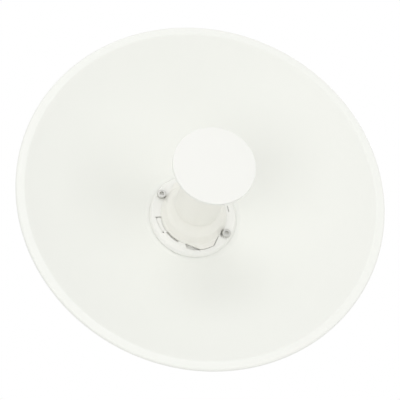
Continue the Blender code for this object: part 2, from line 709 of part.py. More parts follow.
def make_tilt_bolt(label, side, height):
    """One hex bolt across arm and ear, with its washer outside and its nut inside."""
    sign = 1.0 if side == "right" else -1.0
    turn = (0.0, sign * math.radians(90.0), 0.0)
    spot = (0.0, height, PIVOT_FORWARD)
    washer_in = YOKE_HALF_WIDTH + GAP
    head_in = washer_in + WASHER_THICKNESS + GAP
    nut_out = MAST_HALF_WIDTH - SHEET - GAP
    shank_end = nut_out - NUT_HEIGHT - BOLT_STICK_OUT
    suffix = "_{}".format(side)
    mesh = cylinder_mesh(label + "_bolt", BOLT_RADIUS, shank_end, head_in + HEAD_ROOT,
                         BOLT_STEPS)
    bolt = place(label + "_bolt" + suffix, mesh, STEEL, turn, spot)
    mesh = cylinder_mesh(label + "_head", BOLT_HEAD, head_in,
                         head_in + BOLT_HEAD_HEIGHT, 6)
    boolean(bolt, place(label + "_head" + suffix, mesh, None, turn, spot), "UNION")
    outlines = [circle(WASHER_RADIUS, WASHER_STEPS), circle(BOLT_RADIUS + GAP, BOLT_STEPS)]
    sheet_outline(label + "_washer" + suffix, outlines, washer_in,
                  washer_in + WASHER_THICKNESS, STEEL, turn, spot)
    outlines = [circle(BOLT_HEAD, 6), circle(BOLT_RADIUS + GAP, BOLT_STEPS)]
    sheet_outline(label + "_nut" + suffix, outlines, nut_out - NUT_HEIGHT, nut_out,
                  STEEL, turn, spot)


def make_tilt_bolts():
    """Pivot bolts above, lock bolts below, on both sides."""
    for label, height in (("pivot", PIVOT_Y), ("lock", LOCK_Y)):
        for side in ("left", "right"):
            make_tilt_bolt(label, side, height)


def main():
    """Model every piece of the antenna."""
    make_reflector()
    make_hub_ring()
    make_hub_screws()
    make_feed_base()
    make_feed_tube()
    make_feed_cap()
    make_rear_hub()
    make_radio_housing()
    make_housing_cover()
    make_port_door()
    make_cable_inlet()
    make_tilt_bracket()
    make_bracket_screws()
    make_earth_screw()
    make_mast_bracket()
    make_tilt_bolts()


main()
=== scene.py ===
"""Looks of a compact parabolic dish antenna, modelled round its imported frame.

Every piece is modelled by hand steps in the frame's own metres: +X is to the right seen
from the front, +Z is up, and the dish looks along -Y. A distance "forward" is measured
along -Y from the bracket's flat back face, which lies at the origin.
"""
import math
from contextlib import contextmanager

import bmesh
import bpy
from mathutils import Matrix, Vector


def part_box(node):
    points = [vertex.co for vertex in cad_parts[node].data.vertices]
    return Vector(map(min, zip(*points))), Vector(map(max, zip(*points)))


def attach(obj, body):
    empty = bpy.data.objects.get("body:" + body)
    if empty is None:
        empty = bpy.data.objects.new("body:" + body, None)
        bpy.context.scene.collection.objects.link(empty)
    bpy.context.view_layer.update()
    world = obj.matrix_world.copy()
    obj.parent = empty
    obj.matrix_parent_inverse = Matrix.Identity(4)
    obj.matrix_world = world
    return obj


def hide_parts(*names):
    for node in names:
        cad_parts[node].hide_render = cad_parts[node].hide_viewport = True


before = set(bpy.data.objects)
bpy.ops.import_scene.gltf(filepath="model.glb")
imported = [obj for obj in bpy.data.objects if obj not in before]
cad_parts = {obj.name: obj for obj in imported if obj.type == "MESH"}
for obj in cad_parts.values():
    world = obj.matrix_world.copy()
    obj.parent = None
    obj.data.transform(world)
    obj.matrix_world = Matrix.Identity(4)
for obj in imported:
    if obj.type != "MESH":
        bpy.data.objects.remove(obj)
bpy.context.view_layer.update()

bl_info = {
    "name": "Dish Antenna",
    "version": (1, 0, 0),
    "blender": (4, 5, 0),
    "location": "View3D > Sidebar > Antenna",
    "description": "Models and finishes a compact parabolic dish antenna",
    "category": "Object",
}


def reach(node):
    """A node's half width, and how far forward its back and its front are."""
    low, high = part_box(node)
    return (high.x - low.x) / 2, -high.y, -low.y


def middle(node):
    """The middle of a node's box."""
    low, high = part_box(node)
    return (low + high) / 2


# Taken from the frame
DISH_RADIUS, DISH_BACK, LIP_FRONT = reach("reflector")
RING_BACK, RING_FRONT = reach("hub_ring")[1:]
TUBE_RADIUS, TUBE_BACK, TUBE_FRONT = reach("feed_tube")
CAP_RADIUS, COLLAR_BACK, CAP_FRONT = reach("feed_cap")
HUB_RADIUS, HUB_BACK, HUB_FRONT = reach("rear_hub")
CAN_RADIUS, CAN_BACK, SPIGOT_FRONT = reach("radio_housing")
COVER_BACK, COVER_FRONT = reach("housing_cover")[1:]
YOKE_HALF_WIDTH, YOKE_TIP, YOKE_FRONT = reach("tilt_bracket")
MAST_HALF_WIDTH, MAST_BACK, EAR_TIP = reach("mast_bracket")
MAST_HALF_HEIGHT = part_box("mast_bracket")[1].z
YOKE_HALF_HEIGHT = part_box("tilt_bracket")[1].z
BASE_BACK, BASE_TOP = reach("feed_base")[1:]

# Modelling
GAP = 0.0003
MERGE = 0.000005
PAST = 0.0020
SMOOTH = math.radians(38.0)
ARC_STEP = math.radians(11.0)
SWEEP_STEP = 1.5
FINE_TURN = 360
DISH_TURN = 288
MIDDLE_TURN = 144
SMALL_TURN = 64
BOLT_TURN = 48
FASTENER_TURN = 32
TURN_STEP = 360.0 / MIDDLE_TURN
THROUGH = 0.0200
THROUGH_BOTH = 0.2000
MOULD_EDGE = 0.0002


# Hand steps

def only(piece):
    """Leave one piece selected and active."""
    bpy.ops.object.select_all(action="DESELECT")
    piece.select_set(True)
    bpy.context.view_layer.objects.active = piece


def begin(name, primitive, **settings):
    """Add a primitive with nothing else selected, its place put into its mesh."""
    bpy.ops.object.select_all(action="DESELECT")
    primitive(**settings)
    piece = bpy.context.object
    piece.name = name
    piece.data.name = name
    bpy.ops.object.transform_apply(location=True, rotation=True, scale=True)
    return piece


@contextmanager
def editing(piece, kind="FACE"):
    """Edit mode on one piece, with nothing selected at the start."""
    only(piece)
    bpy.ops.object.mode_set(mode="EDIT")
    bpy.ops.mesh.select_mode(type=kind)
    bpy.ops.mesh.select_all(action="DESELECT")
    yield
    bpy.ops.object.mode_set(mode="OBJECT")


def pick_faces(piece, wanted):
    """Select only the faces whose middle and normal pass a test."""
    bpy.ops.mesh.select_mode(type="FACE")
    bpy.ops.mesh.select_all(action="DESELECT")
    for face in bmesh.from_edit_mesh(piece.data).faces:
        if wanted(face.calc_center_median(), face.normal):
            face.select_set(True)
    bmesh.update_edit_mesh(piece.data)


def pick_edges(piece, wanted):
    """Select only the edges whose two ends pass a test."""
    bpy.ops.mesh.select_mode(type="EDGE")
    bpy.ops.mesh.select_all(action="DESELECT")
    for edge in bmesh.from_edit_mesh(piece.data).edges:
        if wanted(edge.verts[0].co, edge.verts[1].co):
            edge.select_set(True)
    bmesh.update_edit_mesh(piece.data)


def pick_corners(piece, wanted):
    """Select only the corners whose place passes a test."""
    bpy.ops.mesh.select_mode(type="VERT")
    bpy.ops.mesh.select_all(action="DESELECT")
    for corner in bmesh.from_edit_mesh(piece.data).verts:
        if wanted(corner.co):
            corner.select_set(True)
    bmesh.update_edit_mesh(piece.data)


def extrude(x=0.0, y=0.0, z=0.0):
    """Extrude what is selected and move it."""
    bpy.ops.mesh.extrude_region_move(TRANSFORM_OT_translate={"value": (x, y, z)})


def spread(factor):
    """Scale what is selected away from or towards the dish's axis."""
    bpy.ops.transform.resize(value=(factor, 1.0, factor), center_override=(0.0, 0.0, 0.0))


def close_up():
    """Merge doubles and turn every face outwards, in edit mode."""
    bpy.ops.mesh.select_all(action="SELECT")
    bpy.ops.mesh.remove_doubles(threshold=MERGE)
    bpy.ops.mesh.normals_make_consistent(inside=False)


def clean(piece):
    """Merge doubles and take out the slivers that a cut or a bevel leaves."""
    with editing(piece):
        close_up()
        bpy.ops.mesh.dissolve_degenerate(threshold=MERGE)
        close_up()


def apply_modifier(piece, kind, **settings):
    """Add a modifier and apply it."""
    only(piece)
    step = piece.modifiers.new(kind.title(), kind)
    for key, value in settings.items():
        setattr(step, key, value)
    bpy.ops.object.modifier_apply(modifier=step.name)


def combine(piece, tool, operation="DIFFERENCE"):
    """Cut, keep or join a piece with a tool, and remove the tool."""
    apply_modifier(piece, "BOOLEAN", operation=operation, solver="EXACT", object=tool)
    discard(tool)


def discard(piece):
    """Remove a tool or a model that has done its work."""
    bpy.data.objects.remove(piece, do_unlink=True)


def soften(piece, width, segments=2, limit=50.0):
    """Round the edges that are sharper than a limit in degrees."""
    apply_modifier(piece, "BEVEL", width=width, segments=segments, limit_method="ANGLE",
                   angle_limit=math.radians(limit), use_clamp_overlap=True,
                   miter_outer="MITER_ARC", harden_normals=False)


def placed_copy(model, name, spot, turn=(0.0, 0.0, 0.0)):
    """Copy a model with its own mesh, and put its place and turn into that mesh."""
    only(model)
    bpy.ops.object.duplicate(linked=False)
    piece = bpy.context.object
    piece.name = name
    piece.data.name = name
    piece.location = spot
    piece.rotation_euler = turn
    bpy.ops.object.transform_apply(location=True, rotation=True, scale=True)
    return piece


def hand_over(piece, look, slot, *nodes):
    """Shade a finished piece, give it its finish and tie it to the frame."""
    only(piece)
    bpy.ops.object.shade_smooth_by_angle(angle=SMOOTH)
    apply_modifier(piece, "WEIGHTED_NORMAL", keep_sharp=True)
    piece.data.materials.clear()
    piece.data.materials.append(look)
    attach(piece, "root")
    if nodes:
        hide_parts(*nodes)


# Outlines

def rounded(corners, closed=False):
    """Points of an outline whose corners, given as (x, y, radius), are rounded by arcs."""
    points = []
    count = len(corners)
    for index, (x, y, radius) in enumerate(corners):
        here = Vector((x, y))
        is_end = not closed and index in (0, count - 1)
        if is_end or radius <= 0.0:
            points.append((x, y))
            continue
        before = (Vector(corners[index - 1][:2]) - here).normalized()
        after = (Vector(corners[(index + 1) % count][:2]) - here).normalized()
        half = before.angle(after) / 2
        centre = here + (before + after).normalized() * (radius / math.sin(half))
        start = here + before * (radius / math.tan(half)) - centre
        end = here + after * (radius / math.tan(half)) - centre
        sweep = start.angle_signed(end)
        steps = max(2, math.ceil(abs(sweep) / ARC_STEP))
        for step in range(steps + 1):
            turned = Matrix.Rotation(-sweep * step / steps, 2) @ start
            points.append(tuple(centre + turned))
    return points


def draw_line(name, points):
    """Draw a chain of edges through points, and stay in edit mode."""
    piece = begin(name, bpy.ops.mesh.primitive_plane_add, size=GAP)
    bpy.ops.object.mode_set(mode="EDIT")
    bpy.ops.mesh.select_mode(type="VERT")
    bpy.ops.mesh.select_all(action="SELECT")
    bpy.ops.mesh.merge(type="CENTER")
    bpy.ops.transform.translate(value=points[0])
    for here, following in zip(points, points[1:]):
        extrude(*(Vector(following) - Vector(here)))
    bpy.ops.mesh.select_all(action="SELECT")
    return piece


def lathe(name, profile, steps=MIDDLE_TURN):
    """Draw a profile of (radius, forward) points and spin it round the dish's axis."""
    piece = draw_line(name, [(radius, -forward, 0.0) for radius, forward in profile])
    bpy.ops.mesh.spin(steps=steps, angle=math.tau, center=(0.0, 0.0, 0.0),
                      axis=(0.0, 1.0, 0.0))
    close_up()
    bpy.ops.object.mode_set(mode="OBJECT")
    return piece


def lathe_ring(name, corners, steps=MIDDLE_TURN):
    """Spin a closed outline of (radius, forward, rounding) corners into a ring."""
    profile = rounded(corners, closed=True)
    return lathe(name, profile + profile[:1], steps)


def prism(name, outline, axis, low, high):
    """Fill an outline drawn across an axis and extrude it from low to high along it."""
    lift = Vector([1.0 if letter == axis else 0.0 for letter in "XYZ"])
    spots = []
    for first, second in outline:
        across = {"X": (low, first, second), "Y": (first, low, second),
                  "Z": (first, second, low)}
        spots.append(across[axis])
    piece = draw_line(name, spots + spots[:1])
    bpy.ops.mesh.remove_doubles(threshold=MERGE)
    bpy.ops.mesh.edge_face_add()
    extrude(*(lift * (high - low)))
    close_up()
    bpy.ops.object.mode_set(mode="OBJECT")
    return piece


def rod(name, axis, spot, radius, length, sides=SMALL_TURN):
    """Cylinder or prism of equal sides along an axis, centred on a spot."""
    quarter = math.pi / 2
    turn = {"X": (0.0, quarter, 0.0), "Y": (quarter, 0.0, 0.0), "Z": (0.0, 0.0, 0.0)}
    return begin(name, bpy.ops.mesh.primitive_cylinder_add, vertices=sides, radius=radius,
                 depth=length, location=spot, rotation=turn[axis])


def drill(piece, axis, spot, radius, length=THROUGH, sides=SMALL_TURN):
    """Cut a round hole along an axis, centred on a spot."""
    combine(piece, rod("hole", axis, spot, radius, length, sides))


def polar(radius, degrees):
    """Across and up from the dish's axis, from +X towards +Z."""
    angle = math.radians(degrees)
    return radius * math.cos(angle), radius * math.sin(angle)


def sweep(start, end):
    """Points from one (radius, degrees) place to another, curving round the axis."""
    steps = max(1, math.ceil(abs(end[1] - start[1]) / SWEEP_STEP))
    points = []
    for step in range(steps + 1):
        share = step / steps
        points.append(polar(start[0] + (end[0] - start[0]) * share,
                            start[1] + (end[1] - start[1]) * share))
    return points


def half_turn(outline):
    """The same outline half a turn on round the axis."""
    return [(-x, -z) for x, z in outline]


def out_from_axis(spot):
    """Distance from the dish's axis."""
    return math.hypot(spot.x, spot.z)


def round_axis(spot):
    """Angle round the dish's axis in degrees, 0 to 360, from +X towards +Z."""
    return math.degrees(math.atan2(spot.z, spot.x)) % 360.0


# Materials

CLOUDS_PER_METRE = 9.0
FLOW_MARKS_PER_METRE = 28.0
POLYESTER_IOR = 1.50
ASA_IOR = 1.52
EPDM_IOR = 1.52


def linear(hex_colour):
    """Turn an sRGB hex colour into linear values."""
    values = []
    for place in (0, 2, 4):
        part = int(hex_colour[place:place + 2], 16) / 255.0
        low = part / 12.92
        high = ((part + 0.055) / 1.055) ** 2.4
        values.append(low if part <= 0.04045 else high)
    return tuple(values)


def add_node(tree, kind, inputs=None, **settings):
    """Add a node, set its values and link the sockets it is given."""
    node = tree.nodes.new(kind)
    for key, value in settings.items():
        setattr(node, key, value)
    for key, value in (inputs or {}).items():
        if isinstance(value, bpy.types.NodeSocket):
            tree.links.new(value, node.inputs[key])
        else:
            node.inputs[key].default_value = value
    return node


def blank_material(name):
    """A material with only its output, and the Object coordinates to paint it by."""
    made = bpy.data.materials.new(name)
    made.use_nodes = True
    tree = made.node_tree
    tree.nodes.clear()
    output = add_node(tree, "ShaderNodeOutputMaterial")
    spot = add_node(tree, "ShaderNodeTexCoord").outputs["Object"]
    return made, tree, output, spot


def varied(tree, factor, colour, change):
    """Two tones of one colour, darker and lighter by a share, mixed by a factor."""
    dark = [part * (1.0 - change) for part in colour]
    light = [min(1.0, part * (1.0 + change)) for part in colour]
    mixed = add_node(tree, "ShaderNodeMix", {0: factor, 6: (*dark, 1.0), 7: (*light, 1.0)},
                     data_type="RGBA")
    return mixed.outputs[2]


def between(tree, value, low, high, from_low=0.3, from_high=0.7):
    """Carry a pattern's value into a range."""
    node = add_node(tree, "ShaderNodeMapRange", {"Value": value, "From Min": from_low,
                    "From Max": from_high, "To Min": low, "To Max": high})
    return node.outputs["Result"]


def noise(tree, spot, per_metre, detail, **more):
    """Soft pattern with a number of waves to the metre."""
    return add_node(tree, "ShaderNodeTexNoise",
                    {"Vector": spot, "Scale": per_metre, "Detail": detail, **more})


def relief(tree, height, strength, depth):
    """Normal of a face that a pattern raises and sinks, to a depth in metres."""
    node = add_node(tree, "ShaderNodeBump", {"Height": height, "Strength": strength,
                    "Distance": depth})
    return node.outputs["Normal"]


def surface(tree, output, colour, roughness, normal, **more):
    """Close a material with its shader."""
    shader = add_node(tree, "ShaderNodeBsdfPrincipled", {
        "Base Color": colour, "Roughness": roughness, "Normal": normal, **more})
    tree.links.new(shader.outputs["BSDF"], output.inputs["Surface"])


def powder_coated_steel(name, colour, peel):
    """Polyester powder on pressed steel, stoved: a satin film with a soft orange peel,
    and a very faint change of tone where the film lies thicker."""
    made, tree, output, spot = blank_material(name)
    cloud = noise(tree, spot, CLOUDS_PER_METRE, 2.0).outputs["Fac"]
    waves = noise(tree, spot, 1.0 / peel, 1.0, Roughness=0.4).outputs["Fac"]
    surface(tree, output, varied(tree, cloud, colour, 0.006),
            between(tree, waves, 0.40, 0.48), relief(tree, waves, 0.12, 0.00008),
            IOR=POLYESTER_IOR)
    return made


def moulded_plastic(name, colour, grain, low, high):
    """Injection-moulded ASA from a spark-eroded mould: even colour, a fine dull grain,
    and slightly glossier patches where the melt met the steel hardest."""
    made, tree, output, spot = blank_material(name)
    flow = noise(tree, spot, FLOW_MARKS_PER_METRE, 3.0).outputs["Fac"]
    pits = noise(tree, spot, 1.0 / grain, 2.0).outputs["Fac"]
    surface(tree, output, varied(tree, flow, colour, 0.008),
            between(tree, flow, low, high), relief(tree, pits, 0.18, 0.00005),
            IOR=ASA_IOR)
    return made


def galvanised_steel(name, colour, spangle):
    """Hot-dip zinc on steel sheet: flat crystals, each with its own tone and dullness."""
    made, tree, output, spot = blank_material(name)
    wobble = noise(tree, spot, 2.0 / spangle, 2.0)
    shifted = add_node(tree, "ShaderNodeVectorMath", {0: wobble.outputs["Color"],
                       1: (spangle * 0.5,) * 3, 2: spot}, operation="MULTIPLY_ADD")
    crystals = add_node(tree, "ShaderNodeTexVoronoi", {"Vector": shifted.outputs[0],
                        "Scale": 1.0 / spangle})
    tone = add_node(tree, "ShaderNodeSeparateColor", {0: crystals.outputs["Color"]})
    surface(tree, output, varied(tree, tone.outputs["Red"], colour, 0.12),
            between(tree, tone.outputs["Green"], 0.34, 0.52, 0.0, 1.0),
            relief(tree, wobble.outputs["Fac"], 0.15, 0.00005), Metallic=1.0)
    return made


def plated_steel(name, colour, score):
    """Zinc-plated turned steel: clean bright metal with faint tool marks."""
    made, tree, output, spot = blank_material(name)
    marks = noise(tree, spot, 1.0 / score, 3.0).outputs["Fac"]
    surface(tree, output, varied(tree, marks, colour, 0.05),
            between(tree, marks, 0.28, 0.40), relief(tree, marks, 0.12, 0.00004),
            Metallic=1.0)
    return made


def moulded_rubber(name, colour, grain):
    """Compression-moulded EPDM: near black, dull, with a fine dusty bloom."""
    made, tree, output, spot = blank_material(name)
    bloom = noise(tree, spot, 1.0 / grain, 4.0).outputs["Fac"]
    surface(tree, output, varied(tree, bloom, colour, 0.25),
            between(tree, bloom, 0.62, 0.80), relief(tree, bloom, 0.3, 0.00006),
            IOR=EPDM_IOR)
    return made


# How each is made, its colour and size settings, and its least and most roughness
FINISHES = {
    "powder_coat": (powder_coated_steel, "paint", "peel"),
    "white_asa": (moulded_plastic, "plastic", "grain", 0.34, 0.44),
    # The feed's finish is the white plastic made darker and warmer: painted shade and bounce
    # light from the yellowish bowl, not a plastic of its own colour.
    "feed_asa": (moulded_plastic, "feed", "grain", 0.34, 0.44),
    "grey_asa": (moulded_plastic, "grey", "grain", 0.42, 0.55),
    "galvanised_sheet": (galvanised_steel, "zinc", "spangle"),
    "plated_steel": (plated_steel, "screw", "score"),
    "inlet_epdm": (moulded_rubber, "rubber", "grain"),
}


def finish(context, kind):
    """The finish of that name, made the first time it is asked for."""
    made = bpy.data.materials.get(kind)
    if made is None:
        make, tint, pattern, *dullness = FINISHES[kind]
        made = make(kind, getattr(context.scene.antenna_colours, tint),
                    getattr(context.scene.antenna_sizes, pattern), *dullness)
    return made


# Reflector

SEAT_HOLE = 0.0460
SEAT_RADIUS = 0.0540
SEAT_BLEND = 0.0080
BOWL_EDGE = 0.1888
BOWL_EDGE_DROP = 0.0015
BOWL_RINGS = 44
SHEET_EDGE_SHARE = 0.22
SHEET_EDGE_ANGLE = 60.0


def model_reflector(sizes):
    """Press the bowl from one sheet: flat seat, paraboloid, flat lip, rolled edge."""
    seat_front = DISH_BACK + sizes.sheet
    edge_front = LIP_FRONT - BOWL_EDGE_DROP
    focal_x4 = (BOWL_EDGE ** 2 - SEAT_RADIUS ** 2) / (edge_front - seat_front)
    vertex = seat_front - SEAT_RADIUS ** 2 / focal_x4
    corners = [(SEAT_HOLE, seat_front, 0.0), (SEAT_RADIUS, seat_front, SEAT_BLEND)]
    for ring in range(1, BOWL_RINGS + 1):
        radius = SEAT_RADIUS + (BOWL_EDGE - SEAT_RADIUS) * ring / BOWL_RINGS
        corners.append((radius, vertex + radius ** 2 / focal_x4, 0.0))
    slope = 2.0 * BOWL_EDGE / focal_x4
    corners.append((BOWL_EDGE + BOWL_EDGE_DROP / slope, LIP_FRONT, sizes.lip_bend))
    corners.append((DISH_RADIUS, LIP_FRONT, sizes.lip_roll))
    corners.append((DISH_RADIUS, LIP_FRONT - sizes.lip_roll - sizes.lip_skirt, 0.0))
    bowl = lathe("pressed_reflector", rounded(corners), DISH_TURN)
    with editing(bowl):
        faces = bmesh.from_edit_mesh(bowl.data).faces
        inmost = min(faces, key=lambda face: out_from_axis(face.calc_center_median()))
        looks_back = inmost.normal.y > 0.0
        if looks_back:
            bpy.ops.mesh.select_all(action="SELECT")
            bpy.ops.mesh.flip_normals()
    apply_modifier(bowl, "SOLIDIFY", thickness=sizes.sheet, offset=-1.0,
                   use_even_offset=True)
    soften(bowl, sizes.sheet * SHEET_EDGE_SHARE, 2, SHEET_EDGE_ANGLE)
    return bowl


# Hub ring

RING_BORE = 0.0372
RING_INNER = 0.0362
CUT_START = 0.0350
RING_TURN = 360
RING_FACE = 0.0470
RING_FOOT = 0.0497
RING_SEAT = RING_BACK - 0.0002
RING_SHOULDER = 0.0010
SHOULDER_STEPS = 4
RING_PLINTH = 0.0481
PLINTH_HEIGHT = 0.0011
NOTCH_EDGE = 0.0002
SCREW_HOLE = 0.0033
RELEASE_GAP = (0.0389, 217.5, 243.0)
RELEASE_DEPTH = 0.0028
TONGUE = (188.0, 215.5)
TONGUE_GAP = 0.0005
TONGUE_FACE_DEPTH = 0.0009
TONGUE_DEPTH = 0.0016
TONGUE_OUT = (0.0429, 0.0413)
TONGUE_IN = (0.0372, 0.0377)
TONGUE_HEEL = (0.0404, 0.0421, 213.6, 216.0)
TIP_GAP = 0.0011
TIP_DEPTH = 0.0032
TAB_NOTCH_OUT = 0.0428
TAB_NOTCH_LEFT = ((CUT_START, 254.7), (0.0404, 257.8), (0.0419, 261.0), (0.0426, 265.5))
TAB_NOTCH_RIGHT = ((0.0426, 303.3), (0.0371, 319.4), (CUT_START, 319.4))
TWIN_NOTCH_RIGHT = ((0.0424, 302.2), (0.0368, 318.0), (CUT_START, 318.0))
TAB_NOTCH_DEPTH = 0.0034
KEY_SLOT = ((0.0380, 0.0131), (0.0388, 0.0131), (0.0401, 0.0065), (0.0393, 0.0065))
KEY_DEPTH = 0.0026
POCKET_RADIUS = 0.0064
POCKET = (115.0, 215.0)
POCKET_DEPTH = 0.0034


def tab_notch(right_side):
    """Outline of the notch round a tab, closed by its right-hand side."""
    notch = [polar(*corner) for corner in TAB_NOTCH_LEFT]
    notch += sweep((TAB_NOTCH_OUT, TAB_NOTCH_LEFT[-1][1] + SWEEP_STEP), right_side[0])
    notch += [polar(*corner) for corner in right_side[1:]]
    return notch + sweep(right_side[-1], TAB_NOTCH_LEFT[0])[1:-1]


def ring_cuts():
    """Outlines sunk in the ring on both sides, each with its depth: gap and tab notch."""
    radius, start, end = RELEASE_GAP
    gap = sweep((radius, start), (radius, end)) + sweep((CUT_START, end), (CUT_START, start))
    return [(gap, RELEASE_DEPTH), (tab_notch(TAB_NOTCH_RIGHT), TAB_NOTCH_DEPTH),
            (half_turn(gap), RELEASE_DEPTH),
            (half_turn(tab_notch(TWIN_NOTCH_RIGHT)), TAB_NOTCH_DEPTH)]


def tongue_cuts():
    """The locking tongue's sunk face and the slots round it, each with its depth."""
    start, end = TONGUE
    head, foot = TONGUE_OUT
    outer = sweep((head, start), (foot, end))
    outer += sweep((foot - TONGUE_GAP, end), (head - TONGUE_GAP, start))
    head_in, foot_in = TONGUE_IN
    inner = sweep((head_in, start), (foot_in, end))
    inner += sweep((foot_in - TONGUE_GAP, end), (head_in - TONGUE_GAP, start))
    half = TONGUE_GAP / 2
    width = math.degrees(TIP_GAP / head)
    face_start, face_end = start + width / 2, end - width / 2
    face = sweep((head - half, face_start), (foot - half, face_end))
    face += sweep((foot_in - half, face_end), (head_in - half, face_start))
    tip_start = start - width / 4
    tip = [polar(head_in - half, tip_start), polar(head + half, tip_start),
           polar(head + half, start + width), polar(head_in - half, start + width)]
    low, high, heel_start, heel_end = TONGUE_HEEL
    heel = [polar(low, heel_start), polar(high, heel_start), polar(high, heel_end),
            polar(low, heel_end)]
    return [(face, TONGUE_FACE_DEPTH), (outer, TONGUE_DEPTH), (inner, TONGUE_DEPTH),
            (tip, TIP_DEPTH), (heel, TIP_DEPTH)]


def screw_pocket():
    """Crescent beside the right hub screw, on the side of the feed, with its depth."""
    screw = middle("hub_screw_right")
    start, end = POCKET
    points = []
    for x, z in sweep((POCKET_RADIUS, start), (POCKET_RADIUS, end)):
        points.append((screw.x + x, screw.z + z))
    return points, POCKET_DEPTH


def model_hub_ring():
    """Extrude a flat annulus, slope its side in, then sink its slots and notches."""
    ring = begin("bayonet_ring", bpy.ops.mesh.primitive_circle_add, vertices=RING_TURN,
                 radius=RING_INNER, fill_type="NOTHING", location=(0.0, -RING_SEAT, 0.0),
                 rotation=(math.pi / 2, 0.0, 0.0))
    with editing(ring, "EDGE"):
        bpy.ops.mesh.select_all(action="SELECT")
        extrude()
        spread(RING_FOOT / RING_INNER)
        bpy.ops.mesh.select_all(action="SELECT")
        extrude(y=RING_SEAT - RING_FRONT)
        close_up()
        pick_edges(ring, lambda a, b: min(out_from_axis(a), out_from_axis(b))
                   > RING_FOOT - MERGE and max(a.y, b.y) < MERGE - RING_FRONT)
        spread(RING_FACE / RING_FOOT)
        bpy.ops.mesh.bevel(offset=RING_SHOULDER, segments=SHOULDER_STEPS, affect="EDGES")
    key = (list(KEY_SLOT), KEY_DEPTH)
    for outline, depth in ring_cuts() + tongue_cuts() + [key, screw_pocket()]:
        combine(ring, prism("cut", outline, "Y", -RING_FRONT - PAST, depth - RING_FRONT))
    soften(ring, NOTCH_EDGE)
    past, under = RING_FOOT + PAST, RING_SEAT + PLINTH_HEIGHT
    combine(ring, lathe_ring("undercut", [
        (RING_PLINTH, RING_SEAT - PAST, 0.0), (RING_PLINTH, under, 0.0),
        (past, under, 0.0), (past, RING_SEAT - PAST, 0.0)], RING_TURN))
    for name in ("hub_screw_left", "hub_screw_right"):
        spot = middle(name)
        spot.y = -(RING_FRONT + RING_BACK) / 2
        drill(ring, "Y", spot, SCREW_HOLE)
    clean(ring)
    return ring


# Screws, bolts, nuts and washers, modelled along the dish's axis with the seat at 0

KNURL_SHARE = 0.972
HEX_CHAMFER = math.radians(30.0)
THREAD_PITCH = 0.00125
THREAD_DEPTH = 0.00065
THREAD_FORM = ((0.02, THREAD_DEPTH), (0.42, 0.0), (0.58, 0.0), (0.98, THREAD_DEPTH))
HEAD_EDGE_SHARE = 0.12
HEAD_FOOT = 0.0004
M6_SHANK = 0.0030
M6_SOCKET = 0.0026
M6_SOCKET_DEPTH = 0.0036
M5_SHANK = 0.0025
M5_SOCKET = 0.0023
M5_SOCKET_DEPTH = 0.0020


def model_socket_screw(name, shank, head, height, socket, depth, length):
    """Knurled round head with a hexagon socket, on a plain shank."""
    edge = head * HEAD_EDGE_SHARE
    foot = HEAD_FOOT
    profile = rounded([(0.0, height, 0.0), (head - edge, height, edge * 0.5),
                       (head, height - edge, 0.0), (head, foot, 0.0),
                       (head - foot, 0.0, 0.0), (shank, 0.0, 0.0), (shank, -length, 0.0),
                       (0.0, -length, 0.0)])
    teeth = SMALL_TURN
    screw = lathe(name, profile, teeth)
    tooth = 360.0 / teeth
    with editing(screw, "VERT"):
        pick_corners(screw, lambda spot: out_from_axis(spot) > head * 0.995
                     and round(round_axis(spot) / tooth) % 2 == 1)
        spread(KNURL_SHARE)
    bore = rod("socket", "Y", (0.0, depth - height - PAST, 0.0), socket, 2 * PAST, 6)
    combine(screw, bore)
    return screw


def hexagon(name, corner_radius, low, high, chamfers):
    """Hexagon prism whose ends named in chamfers are turned to a shallow cone."""
    middle_y = -(low + high) / 2
    block = rod(name, "Y", (0.0, middle_y, 0.0), corner_radius, high - low, 6)
    flat = corner_radius * math.cos(math.pi / 6)
    fall = (corner_radius + PAST - flat) * math.tan(HEX_CHAMFER)
    top = (flat, high) if "high" in chamfers else (corner_radius + PAST, high)
    foot = (flat, low) if "low" in chamfers else (corner_radius + PAST, low)
    high_side = high - fall if "high" in chamfers else high
    low_side = low + fall if "low" in chamfers else low
    side = corner_radius + PAST
    turned = lathe("turned_ends", [(0.0, top[1]), top, (side, high_side), (side, low_side),
                                   foot, (0.0, foot[1])], SMALL_TURN)
    combine(block, turned, "INTERSECT")
    return block


def thread_profile(radius, start, end):
    """Thread drawn as rings, as (radius, forward) points from start to end."""
    points = []
    turns = max(1, int(abs(end - start) / THREAD_PITCH))
    pitch = (end - start) / turns
    for turn in range(turns):
        for share, depth in THREAD_FORM:
            points.append((radius - depth, start + pitch * (turn + share)))
    return points


def model_hub_screws():
    """The two hub screws, copied from one model."""
    low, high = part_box("hub_screw_left")
    seat = RING_FRONT + GAP
    height = -low.y - seat
    model = model_socket_screw("screw_model", M6_SHANK, (high.x - low.x) / 2, height,
                               M6_SOCKET, M6_SOCKET_DEPTH, seat + high.y)
    pieces = []
    for node in ("hub_screw_left", "hub_screw_right"):
        spot = middle(node)
        pieces.append(placed_copy(model, node.replace("hub", "cap"),
                                  (spot.x, -seat, spot.z)))
    discard(model)
    return pieces


# Feed

BASE_RADIUS = 0.0367
BASE_BODY_RADIUS = 0.0359
BASE_BORE = 0.0228
BASE_EDGE_FRONT = RING_FRONT + 0.0012
BASE_EDGE_BACK = RING_FRONT + 0.0002
TAB_RADIUS = 0.0422
TAB_SINK = 0.0008
TAB_BACK = RING_FRONT - TAB_SINK
TAB_SIDES = ((0.0366, 256.6), (TAB_RADIUS, 281.0), (TAB_RADIUS, 302.0), (0.0368, 318.0))
TAB_ROOT = 0.0340
RELIEF_RADIUS = 0.0060
RELIEF_LENGTH = 0.0160
BASE_SOFT_EDGE = 0.0003
BASE_FILLET = ((0.0006, -0.0040, 0.0200), (0.0036, -0.0100, 0.0060))
BASE_CONE = ((0.0325, 0.1010, 0.0020), (0.0349, 0.0930, 0.0030))


